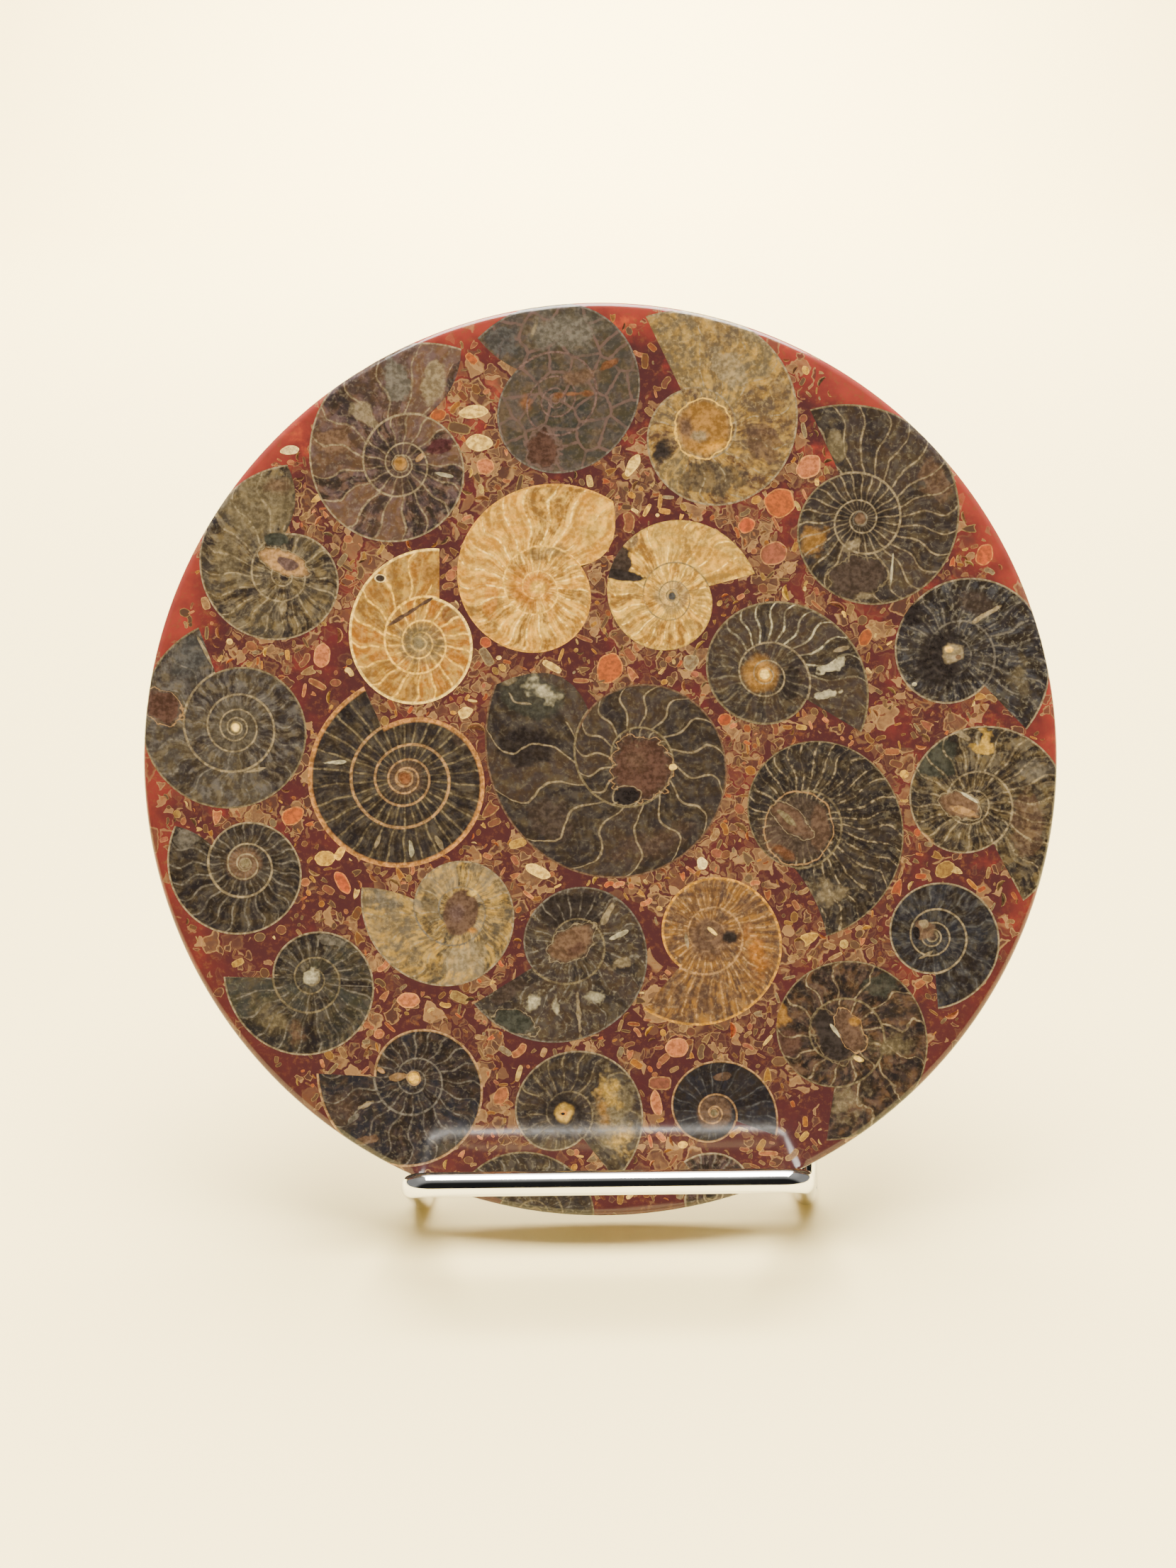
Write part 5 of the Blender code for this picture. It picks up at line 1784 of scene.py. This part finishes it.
@dataclass
class WireStand:
    """The bent wire stand: a closed loop for the bar, legs and base, and a back frame."""

    wire: float = 1.9           # its radius
    corner: float = 1.967       # the wire's reach, with a little room
    middle: float = 1.5
    bar_middle: float = 0.3
    bar_half: float = 30.7
    bar_up: float = 9.7
    bar_ahead: float = -14.5
    foot_half: float = 33.0
    foot_behind: float = 11.0
    rear_behind: float = 72.0
    post_up: float = 84.0
    bends: tuple[float, float, float] = (6.5, 5.0, 3.6)     # behind, at the feet and at the bar
    clearance: float = 0.3
    spare: float = 4.0          # the posts are drawn this far below the floor, then sawn
    sunk: float = 0.5           # the weld takes the posts this far into the base rails
    bead: tuple[float, float, float] = (2.0, 2.6, 0.75)     # half size of a weld
    sides: int = 32
    facet: float = 8.0          # degrees between the rings of a bend

    def sweep(self, points: list[Vector], radii: list[float], closed: bool,
              name: str) -> Piece:
        """Draw a wire through points by extruding a circle and spinning it round each bend.

        Args:
            points: the wire's corners, in metres; a closed wire starts on a straight.
            radii: the bend's radius at each corner, in metres.
            closed: whether the wire comes back to its start.
            name: the object's name.

        Returns:
            The wire.
        """
        deselect_all()
        start = (points[1] - points[0]).normalized()
        bpy.ops.mesh.primitive_circle_add(
            vertices=self.sides, radius=self.wire * MM, location=points[0],
            rotation=start.to_track_quat("Z", "Y").to_euler())
        piece = named(name)
        bpy.ops.object.transform_apply(location=True, rotation=True, scale=True)
        edit_edges()
        here = points[0]
        for index in range(1, len(points)):
            corner = points[index]
            last = index == len(points) - 1
            if last and not closed:
                extrude(*(corner - here))
                break
            after = points[(index + 1) % len(points)]
            into, out = (corner - here).normalized(), (after - corner).normalized()
            angle = into.angle(out)
            back = radii[index] * math.tan(angle / 2.0)
            first, then = corner - into * back, corner + out * back
            extrude(*(first - here))
            axis = into.cross(out).normalized()
            centre = first + axis.cross(into) * radii[index]
            bpy.ops.mesh.spin(steps=max(6, round(math.degrees(angle) / self.facet)), angle=-angle,
                              center=centre, axis=axis, use_auto_merge=False)
            here = then
        if closed:
            extrude(*(points[0] - here))
        weld(1e-5)
        face_outwards()
        return piece

    @property
    def behind(self) -> float:
        """How far behind the plate's face the back frame's wire runs."""
        return PLATE.thickness + self.clearance + self.corner

    def side(self, way: int) -> float:
        """The x of the rails and posts on one side, -1 or 1."""
        return self.middle + way * self.foot_half

    def build_loop(self) -> Piece:
        """Bend the closed loop: rear bar, base rails, legs and front bar.

        Returns:
            The loop.
        """
        foot_y, rest = PLATE.foot[0], self.wire
        rear = foot_y + self.rear_behind
        front = foot_y + self.foot_behind
        low = {way: Vector((self.side(way), front, rest)) * MM for way in (-1, 1)}
        far = {way: Vector((self.side(way), rear, rest)) * MM for way in (-1, 1)}
        bar = {way: PLATE.point(self.bar_middle + way * self.bar_half, self.bar_up,
                                self.bar_ahead) for way in (-1, 1)}
        start = Vector((self.middle, rear, rest)) * MM
        rear_bend, foot_bend, bar_bend = (r * MM for r in self.bends)
        piece = self.sweep(
            [start, far[1], low[1], bar[1], bar[-1], low[-1], far[-1]],
            [0.0, rear_bend, foot_bend, bar_bend, bar_bend, foot_bend, rear_bend],
            True, "bar_and_base_wire")
        bpy.ops.object.shade_smooth()
        return piece

    def build_back(self) -> Piece:
        """Bend the back frame, and saw its posts level where they stand on the base rails.

        Returns:
            The frame.
        """
        lean = math.radians(PLATE.lean)
        floor = -(PLATE.foot[1] - self.behind * math.sin(lean)) / math.cos(lean)
        below = floor - self.spare
        feet = {way: PLATE.point(self.side(way), below, self.behind) for way in (-1, 1)}
        tops = {way: PLATE.point(self.side(way), self.post_up, self.behind) for way in (-1, 1)}
        bend = self.bends[0] * MM
        piece = self.sweep([feet[-1], tops[-1], tops[1], feet[1]], [0.0, bend, bend, 0.0],
                           False, "back_frame_wire")
        take_up(piece)
        bpy.ops.object.mode_set(mode="EDIT")
        bpy.ops.mesh.select_all(action="SELECT")
        bpy.ops.mesh.bisect(plane_co=(0.0, 0.0, (2.0 * self.wire - self.sunk) * MM),
                            plane_no=(0.0, 0.0, -1.0), clear_outer=True)
        for way in (-1, 1):
            select_edges(piece, lambda edge, s=way: edge.is_boundary and all(
                (vert.co.x - self.middle * MM) * s > 0.0 for vert in edge.verts))
            bpy.ops.mesh.edge_face_add()
        face_outwards()
        bpy.ops.object.shade_smooth_by_angle(angle=math.radians(40.0))
        return piece

    def build_welds(self) -> Piece:
        """Model the two weld beads that hold the back frame on the base rails.

        Returns:
            The beads.
        """
        lean = math.radians(PLATE.lean)
        up = (2.0 * self.wire - PLATE.foot[1] + self.behind * math.sin(lean)) / math.cos(lean)
        beads = []
        for way in (-1, 1):
            deselect_all()
            bpy.ops.mesh.primitive_uv_sphere_add(
                segments=20, ring_count=12, radius=1.0 * MM,
                location=PLATE.point(self.side(way), up, self.behind))
            bead = bpy.context.object
            bead.scale = self.bead
            bpy.ops.object.transform_apply(location=True, rotation=True, scale=True)
            beads.append(bead)
        piece = join(beads, "weld_beads")
        bpy.ops.object.shade_smooth()
        return piece

    @staticmethod
    def dress(pieces: list[Piece]) -> None:
        """Chrome every wire.

        Args:
            pieces: the wires and welds.
        """
        material, g, shader = new_material("bright chrome plating")
        place = g.add("TexCoord").outputs["Object"]
        smears = g.add("TexNoise", {"Vector": place, "Scale": 160.0, "Detail": 3.0}).outputs["Fac"]
        shader.inputs["Base Color"].default_value = (*CHROME.base, 1.0)
        shader.inputs["Metallic"].default_value = CHROME.metallic
        g.feed(shader.inputs["Roughness"], g.ramp(smears, 0.4, 0.7, CHROME.smooth, CHROME.dull))
        coat(pieces, material)


# ---- Studio ----

@dataclass(frozen=True)
class Lamp:
    """One soft square lamp aimed at a point, in metres and watts."""

    name: str
    place: tuple[float, float, float]
    aim: tuple[float, float, float]
    size: float
    power: float
    spread: float = 180.0       # degrees across its beam
    colour: Colour = (1.0, 0.945, 0.84)


LAMPS: tuple[Lamp, ...] = (
    Lamp("overhead_lamp", (0.04, 0.38, 1.46), (0.0, 0.06, 0.05), 1.4, 78.0, 110.0),
    Lamp("backdrop_lamp", (0.0, 1.0, 1.9), (0.0, 2.0, 0.2), 1.0, 130.0, 95.0),
)


@dataclass
class Studio:
    """A pale sweep of paper, lamps behind, a dim room in front, and the camera."""

    half_width: float = 3.0
    front: float = -1.6
    back: float = 1.6
    curve: float = 0.6
    wall: float = 0.3
    glow: float = 0.27          # strength of the room all round
    overhead: float = 0.16      # what its ceiling adds
    shaded: float = 0.94        # what it loses in front of the plate
    tint: Colour = (1.0, 0.965, 0.90)
    eye: tuple[float, float, float] = (0.2, 6.6, 278.0)         # in the plate's frame, mm
    target: tuple[float, float, float] = (-1.88, -3.36, 0.0)
    lens: float = 39.0

    def build(self) -> None:
        """Set everything up."""
        self.sweep()
        for lamp in LAMPS:
            self.light(lamp)
        self.room()
        self.camera()

    def sweep(self) -> None:
        """Pull a plane back, curve it up and raise it into a wall."""
        deselect_all()
        bpy.ops.mesh.primitive_plane_add(size=1.0)
        paper = named("paper_sweep")
        for vert in paper.data.vertices:
            vert.co.x *= 2.0 * self.half_width
            vert.co.y = self.back if vert.co.y > 0.0 else self.front
        bpy.ops.object.mode_set(mode="EDIT")
        bpy.ops.mesh.select_mode(type="EDGE")
        select_edges(paper, lambda edge: all(vert.co.y > 0.0 for vert in edge.verts))
        bpy.ops.mesh.spin(steps=16, angle=-math.pi / 2.0, axis=(1.0, 0.0, 0.0),
                          center=(0.0, self.back, self.curve), use_auto_merge=False)
        extrude(0.0, 0.0, self.wall)
        weld(1e-5)
        bpy.ops.object.mode_set(mode="OBJECT")
        bpy.ops.object.shade_smooth()
        material, _, shader = new_material("pale paper")
        shader.inputs["Base Color"].default_value = (*PAPER.base, 1.0)
        shader.inputs["Roughness"].default_value = PAPER.smooth
        paper.data.materials.append(material)

    @staticmethod
    def light(lamp: Lamp) -> None:
        """Hang one lamp.

        Args:
            lamp: the lamp.
        """
        deselect_all()
        bpy.ops.object.light_add(type="AREA", location=lamp.place)
        light = bpy.context.object
        light.name = lamp.name
        light.data.size = lamp.size
        light.data.energy = lamp.power
        light.data.color = lamp.colour
        light.data.spread = math.radians(lamp.spread)
        way = Vector(lamp.aim) - Vector(lamp.place)
        light.rotation_euler = way.to_track_quat("-Z", "Y").to_euler()

    def room(self) -> None:
        """Light the room brightly from above, and leave it dim in front of the plate."""
        world = bpy.data.worlds.new("soft room")
        bpy.context.scene.world = world
        world.use_nodes = True
        g = Graph(world.node_tree)
        way = g.add("SeparateXYZ", {0: g.add("TexCoord").outputs["Generated"]}).outputs
        high = g.times(g.ramp(way["Z"], 0.5, 0.82), g.ramp(way["Y"], -0.6, 0.2))
        ahead = g.times(way["Y"], -1.0)
        dim = g.times(g.ramp(ahead, 0.35, 0.7), g.rest(high))
        level = g.math("MULTIPLY_ADD", high, self.overhead, self.glow)
        level = g.times(level, g.rest(g.times(dim, self.shaded)))
        background = world.node_tree.nodes["Background"]
        background.inputs["Color"].default_value = (*self.tint, 1.0)
        g.feed(background.inputs["Strength"], level)

    def camera(self) -> None:
        """Stand the camera square in front of the plate's face."""
        deselect_all()
        bpy.ops.object.camera_add()
        camera = bpy.context.object
        camera.name = "camera"
        place = Vector(self.eye) * MM
        back = (place - Vector(self.target) * MM).normalized()
        side = Vector((0.0, 1.0, 0.0)).cross(back).normalized()
        frame_up = back.cross(side)
        turned = Matrix((side, frame_up, back)).transposed().to_4x4()
        camera.matrix_world = PLATE.matrix @ Matrix.Translation(place) @ turned
        camera.data.sensor_width = 36.0
        camera.data.lens = self.lens
        camera.data.clip_start = 0.01
        camera.data.clip_end = 50.0
        bpy.context.scene.camera = camera


# ---- The whole object ----

def hand_over(piece: Piece, nodes: tuple[str, ...]) -> None:
    """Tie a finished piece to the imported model, and report it.

    Args:
        piece: the finished object.
        nodes: the CAD nodes that it stands for.
    """
    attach(piece, "root")
    if nodes:
        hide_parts(*nodes)
    piece.data.calc_loop_triangles()
    LOG.info("%s: %d triangles", piece.name, len(piece.data.loop_triangles))


def main() -> None:
    """Build every sub-assembly in order."""
    logging.basicConfig(level=logging.INFO, format="%(message)s")
    nodes = SectionNodes()
    inlays = [ShellInlay(shell, nodes) for shell in SHELLS]
    for inlay in inlays:
        piece = inlay.build()
        inlay.dress(piece)
        hand_over(piece, (inlay.shell.name,))
    chips = ShellChips()
    large = [chips.key_chip(chip) for chip in CHIPS]
    scatter = SmallChips(chips, [inlay.outline() for inlay in inlays],
                         taken=[(*chip.centre, max(chip.size) / 2.0) for chip in CHIPS])
    shapes = scatter.prototypes()
    small = [scatter.build(family, shapes) for family in Family]
    for shape in shapes:
        bpy.data.objects.remove(shape, do_unlink=True)
    chips.dress(large + small)
    for piece, chip in zip(large, CHIPS):
        hand_over(piece, (chip.name,))
    for piece in small:
        hand_over(piece, ())
    resin = Resin()
    pockets = [(inlay.outline(), inlay.depth) for inlay in inlays]
    plate = resin.build(pockets + [(chips.outline(chip), chips.depth) for chip in CHIPS])
    resin.dress(plate)
    hand_over(plate, ("resin_plate",))
    stand = WireStand()
    loop, back, welds = stand.build_loop(), stand.build_back(), stand.build_welds()
    stand.dress([loop, back, welds])
    hand_over(loop, ("front_bar", "left_leg", "right_leg", "left_base_rail",
                                    "right_base_rail", "rear_bar"))
    hand_over(back, ("left_back_post", "right_back_post", "back_bar"))
    hand_over(welds, ())
    Studio().build()


if __name__ == "__main__":
    main()
